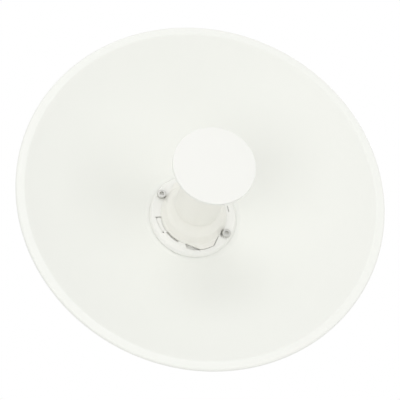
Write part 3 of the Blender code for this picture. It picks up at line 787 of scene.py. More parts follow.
def model_feed_base():
    """Turn the flared foot, join the bayonet tabs to it and clear the right hub screw."""
    fillet = [(TUBE_RADIUS + out, BASE_TOP + rise, bend) for out, rise, bend in BASE_FILLET]
    base = lathe_ring("bayonet_foot", [
        (TUBE_RADIUS, BASE_TOP, 0.0), *fillet, *BASE_CONE,
        (BASE_RADIUS, BASE_EDGE_FRONT, 0.0004),
        (BASE_RADIUS, BASE_EDGE_BACK, 0.0), (BASE_BODY_RADIUS, BASE_EDGE_BACK, 0.0),
        (BASE_BODY_RADIUS, BASE_BACK, 0.0), (BASE_BORE, BASE_BACK, 0.0),
        (BASE_BORE, BASE_TOP, 0.0)], FINE_TURN)
    left, left_out, right_out, right = TAB_SIDES
    tab = [polar(*left)] + sweep(left_out, right_out) + [polar(*right)]
    tab += sweep((TAB_ROOT, right[1]), (TAB_ROOT, left[1]))
    for outline in (tab, half_turn(tab)):
        combine(base, prism("tab", outline, "Y", -BASE_EDGE_FRONT, -TAB_BACK), "UNION")
    screw = middle("hub_screw_right")
    screw.y = -RING_FRONT
    drill(base, "Y", screw, RELIEF_RADIUS, RELIEF_LENGTH)
    soften(base, BASE_SOFT_EDGE)
    clean(base)
    return base


TUBE_EDGE = 0.0003


def model_feed_tube(sizes):
    """Straight tube with slightly broken ends."""
    inner = TUBE_RADIUS - sizes.tube_wall
    return lathe_ring("feed_waveguide", [
        (TUBE_RADIUS, TUBE_FRONT, TUBE_EDGE), (TUBE_RADIUS, TUBE_BACK, TUBE_EDGE),
        (inner, TUBE_BACK, 0.0), (inner, TUBE_FRONT, 0.0)], MIDDLE_TURN)


CAP_BACK = CAP_FRONT - 0.0042
COLLAR_RADIUS = 0.0295
COLLAR_FALL = 0.0020
COLLAR_BEND = 0.0015
CAP_SEAM = 0.0005
CAP_SEAM_DEPTH = CAP_SEAM * 1.6
CAP_SEAM_FORWARD = CAP_FRONT - 0.0019


def model_feed_cap(sizes):
    """Flat cap in two shells with a seam round its side, and a collar for the tube."""
    inner = TUBE_RADIUS + GAP
    front = CAP_SEAM_FORWARD + CAP_SEAM / 2
    back = CAP_SEAM_FORWARD - CAP_SEAM / 2
    return lathe("subreflector_cap", rounded([
        (0.0, CAP_FRONT, 0.0), (CAP_RADIUS, CAP_FRONT, sizes.cap_edge),
        (CAP_RADIUS, front, 0.0), (CAP_RADIUS - CAP_SEAM_DEPTH, front, 0.0),
        (CAP_RADIUS - CAP_SEAM_DEPTH, back, 0.0), (CAP_RADIUS, back, 0.0),
        (CAP_RADIUS, CAP_BACK, 0.0008), (COLLAR_RADIUS, CAP_BACK - COLLAR_FALL, COLLAR_BEND),
        (COLLAR_RADIUS, COLLAR_BACK, 0.0005), (inner, COLLAR_BACK, 0.0),
        (inner, CAP_BACK, 0.0), (0.0, CAP_BACK, 0.0)]), FINE_TURN)


# Rear hub, radio housing, its cover and door

HUB_POCKET = 0.0018
HUB_POCKET_LOW = HUB_BACK + 0.0035
HUB_POCKET_HIGH = HUB_FRONT - 0.0025
HUB_EDGE = 0.0020
PATTERN_FACES = 6
POCKET_FACES = 4


def model_rear_hub():
    """Turn the hub, then sink a row of moulded pockets into its side."""
    hub = lathe_ring("clamp_hub", [
        (HUB_RADIUS, HUB_FRONT, 0.0004), (HUB_RADIUS, HUB_POCKET_HIGH, 0.0),
        (HUB_RADIUS, HUB_POCKET_LOW, 0.0), (HUB_RADIUS, HUB_BACK, HUB_EDGE),
        (RING_BORE, HUB_BACK, 0.0004), (RING_BORE, HUB_FRONT, 0.0)], MIDDLE_TURN)
    with editing(hub):
        pick_faces(hub, lambda spot, _: out_from_axis(spot) > HUB_RADIUS - 0.0003
                   and HUB_POCKET_LOW < -spot.y < HUB_POCKET_HIGH
                   and int(round_axis(spot) / TURN_STEP) % PATTERN_FACES < POCKET_FACES)
        extrude()
        spread((HUB_RADIUS - HUB_POCKET) / HUB_RADIUS)
        close_up()
    soften(hub, 0.0003)
    return hub


CAN_FRONT = HUB_BACK - GAP
SPIGOT_RADIUS = 0.0366
CAN_JOINT = 0.0010
FLUTE_DEPTH = 0.0006
FLUTE_LOW = CAN_BACK + 0.0060
FLUTE_HIGH = CAN_FRONT - 0.0060
FLUTE_FACES = 2
DOWNWARD = 270.0
FLUTE_CLEARANCE = 22.0
INLET_NECK = 0.0073
INLET_SEAT = 0.0120


def model_radio_housing():
    """Round can with a spigot, fluted sides and a seat for the cable inlet."""
    can = lathe("radio_can", rounded([
        (0.0, SPIGOT_FRONT, 0.0), (SPIGOT_RADIUS, SPIGOT_FRONT, 0.0005),
        (SPIGOT_RADIUS, CAN_FRONT, 0.0), (CAN_RADIUS, CAN_FRONT, 0.0010),
        (CAN_RADIUS, FLUTE_HIGH, 0.0), (CAN_RADIUS, FLUTE_LOW, 0.0),
        (CAN_RADIUS, CAN_BACK + CAN_JOINT, 0.0002),
        (CAN_RADIUS - CAN_JOINT / 2, CAN_BACK + CAN_JOINT, 0.0),
        (CAN_RADIUS - CAN_JOINT / 2, CAN_BACK, 0.0), (0.0, CAN_BACK, 0.0)]), MIDDLE_TURN)
    with editing(can):
        pick_faces(can, lambda spot, _: out_from_axis(spot) > CAN_RADIUS - 0.0002
                   and FLUTE_LOW < -spot.y < FLUTE_HIGH
                   and int(round_axis(spot) / TURN_STEP) % PATTERN_FACES < FLUTE_FACES
                   and abs(round_axis(spot) - DOWNWARD) > FLUTE_CLEARANCE)
        extrude()
        spread((CAN_RADIUS - FLUTE_DEPTH) / CAN_RADIUS)
        close_up()
    inlet = middle("cable_inlet")
    drill(can, "Z", (0.0, inlet.y, -CAN_RADIUS), INLET_NECK, INLET_SEAT)
    soften(can, MOULD_EDGE)
    return can


COVER_EDGE = 0.0030
COVER_SCREW_CIRCLE = 0.0375
COVER_SCREW_ANGLES = (45.0, 135.0, 225.0, 315.0)
COVER_RECESS = 0.0034
COVER_RECESS_DEPTH = 0.0012
COVER_STEP = 0.0005
COVER_STEP_RADIUS = 0.0318
PAN_HEAD = 0.0027
PAN_HEIGHT = 0.0011


def model_housing_cover():
    """Shallow lid with a low step round its middle and four screw recesses."""
    lid = lathe("radio_lid", rounded([
        (0.0, COVER_FRONT, 0.0), (CAN_RADIUS, COVER_FRONT, 0.0003),
        (CAN_RADIUS, COVER_BACK + COVER_STEP, COVER_EDGE - COVER_STEP),
        (COVER_STEP_RADIUS + COVER_STEP, COVER_BACK + COVER_STEP, 0.0003),
        (COVER_STEP_RADIUS, COVER_BACK, 0.0003), (0.0, COVER_BACK, 0.0)]), MIDDLE_TURN)
    for angle in COVER_SCREW_ANGLES:
        x, z = polar(COVER_SCREW_CIRCLE, angle)
        drill(lid, "Y", (x, -COVER_BACK, z), COVER_RECESS,
              2 * (COVER_RECESS_DEPTH + COVER_STEP))
    soften(lid, MOULD_EDGE)
    clean(lid)
    return lid


def model_cover_screws():
    """Four small pan-head screws with cross recesses, sunk in the lid."""
    head, height = PAN_HEAD, PAN_HEIGHT
    seat = COVER_BACK + COVER_STEP + COVER_RECESS_DEPTH - GAP
    model = lathe("pan_model", rounded([
        (0.0, height, 0.0), (head * 0.6, height, 0.0020), (head, height * 0.35, 0.0),
        (head, 0.0, 0.0), (0.0, 0.0, 0.0)]), FASTENER_TURN)
    for turn in (0.0, math.pi / 2):
        slot = begin("cross", bpy.ops.mesh.primitive_cube_add, size=1.0,
                     location=(0.0, -height, 0.0), rotation=(0.0, turn, 0.0),
                     scale=(head * 1.1, height, head * 0.26))
        combine(model, slot)
    pieces = []
    for index, angle in enumerate(COVER_SCREW_ANGLES):
        x, z = polar(COVER_SCREW_CIRCLE, angle)
        name = "lid_screw_{}".format(index + 1)
        pieces.append(placed_copy(model, name, (x, -seat, z), (0.0, 0.0, math.pi)))
    discard(model)
    return pieces


DOOR_CORNER = 0.0040
DOOR_BORDER = 0.0016
DOOR_SINK = 0.0005
DOOR_EDGE = 0.00035
THUMB_RADIUS = 0.0075
THUMB_DROP = 0.0040
THUMB_LENGTH = 0.0016


def model_port_door():
    """Rounded door with a sunk panel and a thumb notch below."""
    low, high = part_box("port_door")
    centre = (low + high) / 2
    size = high - low
    half_x = size.x / 2
    half_z = size.z / 2
    outline = rounded([(-half_x, centre.z - half_z, DOOR_CORNER),
                       (half_x, centre.z - half_z, DOOR_CORNER),
                       (half_x, centre.z + half_z, DOOR_CORNER),
                       (-half_x, centre.z + half_z, DOOR_CORNER)], closed=True)
    door = prism("socket_door", outline, "Y", low.y, high.y)
    with editing(door):
        pick_faces(door, lambda spot, normal: normal.y > 0.9)
        bpy.ops.mesh.inset(thickness=DOOR_BORDER, depth=0.0)
        bpy.ops.mesh.inset(thickness=DOOR_SINK, depth=-DOOR_SINK)
    soften(door, DOOR_EDGE, 3)
    drill(door, "Y", (0.0, high.y, centre.z - half_z - THUMB_DROP), THUMB_RADIUS,
          THUMB_LENGTH)
    return door


# Cable inlet

INLET_RIBS = 4
INLET_RIB = 0.0007
INLET_WALL_STEP = 0.0015
INLET_BORE = 0.0032
COLLAR_TOP = 0.0066
COLLAR_HEIGHT = 0.0048
RIB_SWELL = 0.0006
RIB_TAPER = 0.0003
RIB_EDGE = 0.0003
INLET_TURN = 96


def model_cable_inlet():
    """Rubber inlet with soft ribs below its collar and an open bore."""
    low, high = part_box("cable_inlet")
    radius = (high.x - low.x) / 2
    length = high.z - low.z
    neck = radius - INLET_WALL_STEP
    collar_end = COLLAR_TOP + COLLAR_HEIGHT
    corners = [(INLET_BORE, 0.0, 0.0), (neck, 0.0, 0.0), (neck, COLLAR_TOP, 0.0),
               (radius, COLLAR_TOP + 0.0002, 0.0006), (radius, collar_end, 0.0008)]
    step = (length - collar_end - 0.0010) / INLET_RIBS
    for rib in range(INLET_RIBS):
        start = collar_end + step * rib
        out = neck + RIB_SWELL - RIB_TAPER * rib
        corners.append((out - INLET_RIB, start + step * 0.25, RIB_EDGE))
        corners.append((out, start + step * 0.50, RIB_EDGE))
        corners.append((out, start + step * 0.95, RIB_EDGE))
    corners.append((neck - 0.0012, length, 0.0004))
    corners.append((INLET_BORE, length, 0.0))
    inlet = lathe_ring("cable_boot", corners, INLET_TURN)
    piece = placed_copy(inlet, "cable_boot_placed", (0.0, (low.y + high.y) / 2, high.z),
                        (math.pi / 2, 0.0, 0.0))
    discard(inlet)
    piece.name = "cable_boot"
    return piece


# Brackets

EAR_HALF_HEIGHT = 0.0370
EAR_CORNER = 0.0140
MAST_SHOULDER = 0.0110
MAST_SHOULDER_BEND = 0.0060
YOKE_SHOULDER = 0.0523
YOKE_SHOULDER_BEND = 0.0080
YOKE_TIP_HALF_HEIGHT = 0.0360
YOKE_TIP_CORNER = 0.0120
YOKE_HOLE = 0.0470
BRACKET_EDGE = 0.0004
BOLT_HOLE = 0.0044
SCREW_CLEARANCE = 0.0028
BAND_SLOT = (0.0085, 0.0260)
BAND_SLOT_SPOT = (0.0340, 0.0390)
SLOT_END_SHARE = 0.98
WALL_HOLE = 0.0043
WALL_HOLE_UP = 0.0480
SLOT_SWING = math.radians(13.0)


def bent_sheet(name, half_width, web, tip, half_height, sizes):
    """Draw the section of a U of bent sheet, extrude it upright and give it thickness."""
    section = rounded([(half_width, tip, 0.0), (half_width, web, sizes.bend),
                       (-half_width, web, sizes.bend), (-half_width, tip, 0.0)])
    spots = [(across, -forward, -half_height) for across, forward in section]
    sheet = draw_line(name, spots)
    extrude(z=2 * half_height)
    close_up()
    faces = bmesh.from_edit_mesh(sheet.data).faces
    web_face = min(faces, key=lambda face: abs(face.calc_center_median().x))
    outward = 1.0 if web < tip else -1.0
    if web_face.normal.y * outward < 0.0:
        bpy.ops.mesh.flip_normals()
    bpy.ops.object.mode_set(mode="OBJECT")
    apply_modifier(sheet, "SOLIDIFY", thickness=sizes.bracket_sheet, offset=-1.0,
                   use_even_offset=True)
    return sheet


def trim(sheet, outline, half_width):
    """Keep what lies inside an outline of (forward, up) points seen from the side."""
    seen = [(-forward, up) for forward, up in outline]
    combine(sheet, prism("outline", seen, "X", -half_width - PAST, half_width + PAST),
            "INTERSECT")


def model_tilt_bracket(sizes):
    """Yoke round the radio can: web on the rear hub and two arms running back."""
    yoke = bent_sheet("tilt_yoke", YOKE_HALF_WIDTH, YOKE_FRONT, YOKE_TIP, YOKE_HALF_HEIGHT,
                      sizes)
    tall = YOKE_HALF_HEIGHT + PAST
    outline = rounded([
        (YOKE_FRONT + PAST, -tall, 0.0), (YOKE_FRONT + PAST, tall, 0.0),
        (YOKE_SHOULDER, tall, 0.0), (YOKE_SHOULDER, YOKE_HALF_HEIGHT, YOKE_SHOULDER_BEND),
        (YOKE_TIP, YOKE_TIP_HALF_HEIGHT, YOKE_TIP_CORNER),
        (YOKE_TIP, -YOKE_TIP_HALF_HEIGHT, YOKE_TIP_CORNER),
        (YOKE_SHOULDER, -YOKE_HALF_HEIGHT, YOKE_SHOULDER_BEND),
        (YOKE_SHOULDER, -tall, 0.0)], closed=True)
    trim(yoke, outline, YOKE_HALF_WIDTH)
    drill(yoke, "Y", (0.0, -YOKE_FRONT, 0.0), YOKE_HOLE, THROUGH, MIDDLE_TURN)
    for index in range(4):
        spot = middle("bracket_screw_{}".format(index + 1))
        drill(yoke, "Y", (spot.x, -YOKE_FRONT, spot.z), SCREW_CLEARANCE, THROUGH,
              FASTENER_TURN)
    for node in ("pivot_bolt_right", "lock_bolt_right"):
        spot = middle(node)
        drill(yoke, "X", (0.0, spot.y, spot.z), BOLT_HOLE, THROUGH_BOTH, BOLT_TURN)
    spot = middle("earth_screw")
    drill(yoke, "X", (-YOKE_HALF_WIDTH, spot.y, spot.z), SCREW_CLEARANCE, THROUGH / 2,
          FASTENER_TURN)
    soften(yoke, BRACKET_EDGE)
    return yoke


def arc_slot(pivot, lock):
    """Outline of the lock bolt's slot, an arc about the pivot, as (forward, up) points."""
    reach_down = pivot.z - lock.z
    points = []
    for side, swing in ((1.0, 1.0), (-1.0, -1.0)):
        for step in range(9):
            angle = -math.pi / 2 + SLOT_SWING * swing * (step / 4 - 1.0)
            radius = reach_down + BOLT_HOLE * side
            points.append((-pivot.y + radius * math.cos(angle),
                           pivot.z + radius * math.sin(angle)))
        end = -math.pi / 2 + SLOT_SWING * swing
        centre = (-pivot.y + reach_down * math.cos(end), pivot.z + reach_down * math.sin(end))
        first = end if side > 0 else end + math.pi
        for step in range(1, 8):
            angle = first + math.pi * step / 8
            points.append((centre[0] + BOLT_HOLE * math.cos(angle),
                           centre[1] + BOLT_HOLE * math.sin(angle)))
    return points


def model_mast_bracket(sizes):
    """Channel that bolts to the mast, with ears for the yoke's bolts."""
    channel = bent_sheet("mast_channel", MAST_HALF_WIDTH, MAST_BACK, EAR_TIP,
                         MAST_HALF_HEIGHT, sizes)
    tall = MAST_HALF_HEIGHT + PAST
    outline = rounded([
        (-PAST, -tall, 0.0), (MAST_SHOULDER, -tall, 0.0),
        (MAST_SHOULDER, -MAST_HALF_HEIGHT, MAST_SHOULDER_BEND),
        (EAR_TIP, -EAR_HALF_HEIGHT, EAR_CORNER), (EAR_TIP, EAR_HALF_HEIGHT, EAR_CORNER),
        (MAST_SHOULDER, MAST_HALF_HEIGHT, MAST_SHOULDER_BEND), (MAST_SHOULDER, tall, 0.0),
        (-PAST, tall, 0.0)], closed=True)
    trim(channel, outline, MAST_HALF_WIDTH)
    pivot = middle("pivot_bolt_right")
    lock = middle("lock_bolt_right")
    drill(channel, "X", (0.0, pivot.y, pivot.z), BOLT_HOLE, THROUGH_BOTH, BOLT_TURN)
    seen = [(-forward, up) for forward, up in arc_slot(pivot, lock)]
    combine(channel, prism("slot", seen, "X", -THROUGH_BOTH / 2, THROUGH_BOTH / 2))
    half = BAND_SLOT[0] / 2
    tip = BAND_SLOT[1] / 2
    bend = half * SLOT_END_SHARE
    for x in (-BAND_SLOT_SPOT[0], BAND_SLOT_SPOT[0]):
        for z in (-BAND_SLOT_SPOT[1], BAND_SLOT_SPOT[1]):
            slot = rounded([(x - half, z - tip, bend), (x + half, z - tip, bend),
                            (x + half, z + tip, bend), (x - half, z + tip, bend)],
                           closed=True)
            combine(channel, prism("slot", slot, "Y", -THROUGH / 2, THROUGH / 2))
    for z in (-WALL_HOLE_UP, WALL_HOLE_UP):
        drill(channel, "Y", (0.0, 0.0, z), WALL_HOLE, THROUGH, BOLT_TURN)
    soften(channel, BRACKET_EDGE)
    return channel


# Bracket screws, earth screw, tilt bolts

M8_SHANK = 0.0040
M8_CLEARANCE = 0.0043
THREAD_LENGTH = 0.0120
THREAD_RUN_OUT = 0.0006
HEAD_OVERLAP = 0.0010


def model_bracket_screws():
    """Four screws with their heads facing back, and the earth screw on the left arm."""
    low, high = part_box("bracket_screw_1")
    head = (high.x - low.x) / 2
    seat = YOKE_FRONT - 0.0030 - GAP
    height = seat + high.y
    shank_end = -low.y
    model = model_socket_screw("screw_model", M5_SHANK, head, height, M5_SOCKET,
                               M5_SOCKET_DEPTH, shank_end - seat)
    pieces = []
    for index in range(4):
        node = "bracket_screw_{}".format(index + 1)
        spot = middle(node)
        pieces.append((placed_copy(model, "yoke_screw_{}".format(index + 1),
                                   (spot.x, -seat, spot.z), (0.0, 0.0, math.pi)), node))
    discard(model)
    low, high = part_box("earth_screw")
    spot = middle("earth_screw")
    seat = -YOKE_HALF_WIDTH - GAP
    model = model_socket_screw("screw_model", M5_SHANK, head, seat - low.x, M5_SOCKET,
                               M5_SOCKET_DEPTH, high.x - seat)
    pieces.append((placed_copy(model, "earth_terminal", (seat, spot.y, spot.z),
                               (0.0, 0.0, -math.pi / 2)), "earth_screw"))
    discard(model)
    return pieces


def model_hex_bolt(head_low, head_high, shank_end, corner, radius):
    """Hexagon bolt along the axis: chamfered head, plain shank and threaded end."""
    bolt = hexagon("bolt_model", corner, head_low, head_high, ("high",))
    thread_start = shank_end + THREAD_LENGTH
    shank_top = head_low + HEAD_OVERLAP
    points = [(0.0, shank_top), (radius, shank_top), (radius, thread_start)]
    points.extend(thread_profile(radius, thread_start, shank_end + THREAD_RUN_OUT))
    points.extend([(radius - THREAD_DEPTH, shank_end), (0.0, shank_end)])
    combine(bolt, lathe("shank", points, BOLT_TURN), "UNION")
    return bolt


def model_tilt_bolts():
    """Bolts, washers and nuts of the tilt joint, each copied from one model."""
    low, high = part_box("pivot_bolt_right")
    washer_low, washer_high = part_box("pivot_washer_right")
    nut_low, nut_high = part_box("pivot_nut_right")
    corner = (high.y - low.y) / 2
    corner = max(corner, (high.z - low.z) / 2)
    head_low = washer_high.x + GAP
    bolt = model_hex_bolt(head_low, high.x, low.x, corner, M8_SHANK)
    outer = (washer_high.y - washer_low.y) / 2
    washer = lathe_ring("washer_model", [
        (outer, washer_high.x, 0.0004), (outer, washer_low.x, 0.0002),
        (M8_CLEARANCE, washer_low.x, 0.0), (M8_CLEARANCE, washer_high.x, 0.0002)],
        SMALL_TURN)
    nut = hexagon("nut_model", corner, nut_low.x, nut_high.x, ("low", "high"))
    bore_high, bore_low = nut_high.x + PAST, nut_low.x - PAST
    bore = lathe("bore", [(0.0, bore_high), (M8_CLEARANCE, bore_high),
                          (M8_CLEARANCE, bore_low), (0.0, bore_low)], BOLT_TURN)
    combine(nut, bore)
    names = {"bolt": "hex_bolt", "washer": "flat_washer", "nut": "hex_nut"}
    pieces = []
    for kind, model in (("bolt", bolt), ("washer", washer), ("nut", nut)):
        for label in ("pivot", "lock"):
            for side, sign in (("left", -1.0), ("right", 1.0)):
                node = "{}_{}_{}".format(label, kind, side)
                spot = middle(node)
                name = "{}_{}_{}".format(label, names[kind], side)
                turn = (0.0, 0.0, sign * math.pi / 2)
                pieces.append((placed_copy(model, name, (0.0, spot.y, spot.z), turn), node))
        discard(model)
    return pieces


# Studio

SIGHT = Vector((0.0, -0.154, 0.0))
SIGHT_OFFSET = (-0.0040, -0.0098)
SENSOR = 36.0
CLIP_NEAR = 0.01
CLIP_FAR = 200.0
FLOOR_HEIGHT = -1.50
FLOOR_SIZE = 80.0
FLOOR_COLOUR = (0.86, 0.86, 0.85)
FLOOR_ROUGHNESS = 0.8
HORIZON_START = -0.3
SOFTBOX_DISTANCE = 2.2
# name, azimuth, elevation, size in metres, power setting
SOFTBOXES = (("right_softbox", 36.0, -7.0, 1.3, "right_power"),
             ("top_softbox", -8.0, 32.0, 0.8, "top_power"),
             ("low_left_softbox", -33.0, -23.0, 1.3, "low_power"),
             ("left_softbox", -30.0, 32.0, 0.9, "left_power"),
             ("rear_softbox", 150.0, 30.0, 1.2, "rear_power"))


def facing(azimuth, elevation):
    """Right, up and back vectors of a camera or lamp that looks at the dish."""
    back = Vector((math.sin(azimuth) * math.cos(elevation),
                   -math.cos(azimuth) * math.cos(elevation), math.sin(elevation)))
    right = Vector((math.cos(azimuth), math.sin(azimuth), 0.0))
    return right, back.cross(right), back


def standing(right, up, back, spot):
    """Matrix of an object at a spot whose own axes are right, up and back."""
    turned = Matrix((right, up, back)).transposed().to_4x4()
    return Matrix.Translation(spot) @ turned


def add_camera(studio):
    """Camera low in front of the dish and a little to the left, looking up."""
    right, up, back = facing(studio.camera_azimuth, studio.camera_elevation)
    spot = SIGHT + right * SIGHT_OFFSET[0] + up * SIGHT_OFFSET[1] \
        + back * studio.camera_distance
    data = bpy.data.cameras.new("photo_camera")
    data.lens = studio.lens
    data.sensor_width = SENSOR
    data.clip_start = CLIP_NEAR
    data.clip_end = CLIP_FAR
    camera = bpy.data.objects.new("photo_camera", data)
    bpy.context.scene.collection.objects.link(camera)
    camera.matrix_world = standing(right, up, back, spot)
    bpy.context.scene.camera = camera


def add_softbox(name, azimuth, elevation, size, power):
    """Square area lamp that looks at the dish."""
    right, up, back = facing(math.radians(azimuth), math.radians(elevation))
    data = bpy.data.lights.new(name, "AREA")
    data.shape = "SQUARE"
    data.size = size
    data.energy = power
    lamp = bpy.data.objects.new(name, data)
    bpy.context.scene.collection.objects.link(lamp)
    lamp.matrix_world = standing(right, up, back, SIGHT + back * SOFTBOX_DISTANCE)


def add_world(studio):
    """White surround, seen as full white but softer as light, a little brighter above."""
    world = bpy.data.worlds.new("white_room")
    bpy.context.scene.world = world
    world.use_nodes = True
    tree = world.node_tree
    tree.nodes.clear()
    output = add_node(tree, "ShaderNodeOutputWorld")
    direction = add_node(tree, "ShaderNodeTexCoord").outputs["Generated"]
    side = add_node(tree, "ShaderNodeVectorMath", {0: direction, 1: (0.0, 0.0, 1.0)},
                    operation="DOT_PRODUCT")
    level = add_node(tree, "ShaderNodeMapRange", {
        "Value": side.outputs["Value"], "From Min": HORIZON_START, "From Max": 1.0,
        "To Min": studio.surround, "To Max": studio.surround_top})
    is_camera = add_node(tree, "ShaderNodeLightPath").outputs["Is Camera Ray"]
    strength = add_node(tree, "ShaderNodeMix", {0: is_camera, 2: level.outputs["Result"],
                        3: 1.0}, data_type="FLOAT")
    shade = add_node(tree, "ShaderNodeBackground", {"Color": (1.0, 1.0, 1.0, 1.0),
                     "Strength": strength.outputs[0]})
    tree.links.new(shade.outputs[0], output.inputs["Surface"])


def model_floor():
    """Pale painted floor far below the dish, larger than any view of it."""
    floor = begin("studio_floor", bpy.ops.mesh.primitive_plane_add, size=FLOOR_SIZE,
                  location=(0.0, 0.0, FLOOR_HEIGHT))
    made, tree, output, spot = blank_material("pale_floor_paint")
    cloud = add_node(tree, "ShaderNodeTexNoise", {"Vector": spot, "Scale": 0.8})
    shader = add_node(tree, "ShaderNodeBsdfPrincipled", {
        "Base Color": varied(tree, cloud.outputs["Fac"], FLOOR_COLOUR, 0.01),
        "Roughness": FLOOR_ROUGHNESS})
    tree.links.new(shader.outputs["BSDF"], output.inputs["Surface"])
    floor.data.materials.append(made)


def build_studio(studio):
    """Camera, soft lamps, white surround and floor."""
    bpy.context.scene.view_settings.view_transform = "Standard"
    bpy.context.scene.view_settings.look = "None"
    add_camera(studio)
    for name, azimuth, elevation, size, power in SOFTBOXES:
        add_softbox(name, azimuth, elevation, size, getattr(studio, power))
    add_world(studio)
    model_floor()


# Settings

def length(name, description, default):
    """A length that a user may change."""
    return bpy.props.FloatProperty(name=name, description=description, default=default,
                                   min=0.0, unit="LENGTH", precision=5)


def colour(name, description, hex_colour):
    """A colour that a user may change, given as sRGB hex."""
    return bpy.props.FloatVectorProperty(name=name, description=description, size=3,
                                         default=linear(hex_colour), min=0.0, max=1.0,
                                         subtype="COLOR")


def amount(name, description, default, **settings):
    """A plain number that a user may change."""
    return bpy.props.FloatProperty(name=name, description=description, default=default,
                                   **settings)


class AntennaSizes(bpy.types.PropertyGroup):
    """Sizes that the frame leaves open."""
    sheet: length("Reflector sheet", "Thickness of the pressed bowl", 0.0016)
    lip_bend: length("Lip bend", "Radius between the bowl and its flat lip", 0.0040)
    lip_roll: length("Lip roll", "Radius of the rolled outer edge", 0.0025)
    lip_skirt: length("Lip skirt", "Straight edge behind the roll", 0.0018)
    tube_wall: length("Tube wall", "Thickness of the feed tube", 0.0025)
    cap_edge: length("Cap edge", "Rounding of the cap's front edge", 0.0009)
    bracket_sheet: length("Bracket sheet", "Thickness of the bent steel", 0.0030)
    bend: length("Bracket bend", "Outer radius of the brackets' bends", 0.0040)
    peel: length("Orange peel", "Width of a wave in the powder coat", 0.0018)
    grain: length("Mould grain", "Width of a pit in the moulded faces", 0.0007)
    spangle: length("Zinc spangle", "Width of a crystal in the zinc", 0.0060)
    score: length("Tool marks", "Width of the marks on plated steel", 0.0008)


class AntennaColours(bpy.types.PropertyGroup):
    """Colours of the finishes."""
    paint: colour("Powder coat", "Reflector", "F3F4EF")
    plastic: colour("White plastic", "Hub ring, cap and housing", "F2F2EE")
    # Painted shade and bounce tint: darker and warmer than the white plastic, standing in for
    # the bowl's light bounced onto the feed's foot and tube.
    feed: colour("Feed plastic with painted bounce", "Feed's foot and tube", "F1F0EA")
    grey: colour("Grey plastic", "Rear hub and door", "C4C6C4")
    zinc: colour("Galvanised sheet", "Brackets", "C9CCCD")
    screw: colour("Plated steel", "Screws, bolts, nuts and washers", "D2D2CE")
    rubber: colour("Rubber", "Cable inlet", "1C1D1E")


class AntennaStudio(bpy.types.PropertyGroup):
    """Camera and light."""
    camera_azimuth: amount("Azimuth", "Camera's angle to the right of the axis",
                           math.radians(-9.80), subtype="ANGLE")
    camera_elevation: amount("Elevation", "Camera's angle above the axis",
                             math.radians(-23.79), subtype="ANGLE")
    camera_distance: length("Distance", "From the rim's middle to the camera", 1.5)
    lens: amount("Focal length", "For a 36 mm sensor, in millimetres", 126.2)
    right_power: amount("Right softbox", "Power in watts", 5.3, unit="POWER")
    top_power: amount("Top softbox", "Power in watts", 3.7, unit="POWER")
    low_power: amount("Low left softbox", "Power in watts", 7.0, unit="POWER")
    left_power: amount("Left softbox", "Power in watts", 1.5, unit="POWER")
    rear_power: amount("Rear softbox", "Power in watts", 8.0, unit="POWER")
    surround: amount("Surround", "Light from the white room at its foot", 0.70)
    surround_top: amount("Surround above", "Light from the white room overhead", 0.84)


# Operators

class BuildStep:
    """What the operators share: they build their pieces and report that it is done."""

    def execute(self, context):
        self.build(context)
        return {"FINISHED"}


class AddReflector(BuildStep, bpy.types.Operator):
    """Model the pressed reflector"""
    bl_idname = "antenna.add_reflector"
    bl_label = "Add Reflector"

    def build(self, context):
        bowl = model_reflector(context.scene.antenna_sizes)
        hand_over(bowl, finish(context, "powder_coat"), "reflector_paint", "reflector")


class AddHubRing(BuildStep, bpy.types.Operator):
    """Model the front hub ring with its notches"""
    bl_idname = "antenna.add_hub_ring"
    bl_label = "Add Hub Ring"

    def build(self, context):
        hand_over(model_hub_ring(), finish(context, "white_asa"), "hub_plastic", "hub_ring")


class AddHubScrews(BuildStep, bpy.types.Operator):
    """Model the two socket screws of the hub"""
    bl_idname = "antenna.add_hub_screws"
    bl_label = "Add Hub Screws"

    def build(self, context):
        steel = finish(context, "plated_steel")
        nodes = ("hub_screw_left", "hub_screw_right")
        for piece, node in zip(model_hub_screws(), nodes):
            hand_over(piece, steel, "screw_steel", node)


class AddFeed(BuildStep, bpy.types.Operator):
    """Model the feed's foot, tube and cap"""
    bl_idname = "antenna.add_feed"
    bl_label = "Add Feed"

    def build(self, context):
        sizes = context.scene.antenna_sizes
        # Foot and tube get the copy of the white plastic with painted shade and bounce tint;
        # the cap keeps the plain white.
        plastic = finish(context, "feed_asa")
        hand_over(model_feed_base(), plastic, "feed_plastic", "feed_base")
        hand_over(model_feed_tube(sizes), plastic, "feed_plastic", "feed_tube")
        hand_over(model_feed_cap(sizes), finish(context, "white_asa"), "feed_plastic",
                  "feed_cap")


class AddRearHub(BuildStep, bpy.types.Operator):
    """Model the grey hub behind the reflector"""
    bl_idname = "antenna.add_rear_hub"
    bl_label = "Add Rear Hub"

    def build(self, context):
        hand_over(model_rear_hub(), finish(context, "grey_asa"), "rear_plastic", "rear_hub")


class AddRadio(BuildStep, bpy.types.Operator):
    """Model the radio housing, its lid, lid screws and door"""
    bl_idname = "antenna.add_radio"
    bl_label = "Add Radio Housing"

    def build(self, context):
        white = finish(context, "white_asa")
        hand_over(model_radio_housing(), white, "housing_plastic", "radio_housing")
        hand_over(model_housing_cover(), white, "housing_plastic", "housing_cover")
        for piece in model_cover_screws():
            hand_over(piece, finish(context, "plated_steel"), "screw_steel")
        hand_over(model_port_door(), finish(context, "grey_asa"), "rear_plastic",
                  "port_door")


class AddInlet(BuildStep, bpy.types.Operator):
    """Model the rubber cable inlet"""
    bl_idname = "antenna.add_inlet"
    bl_label = "Add Cable Inlet"

    def build(self, context):
        hand_over(model_cable_inlet(), finish(context, "inlet_epdm"), "inlet_rubber",
                  "cable_inlet")


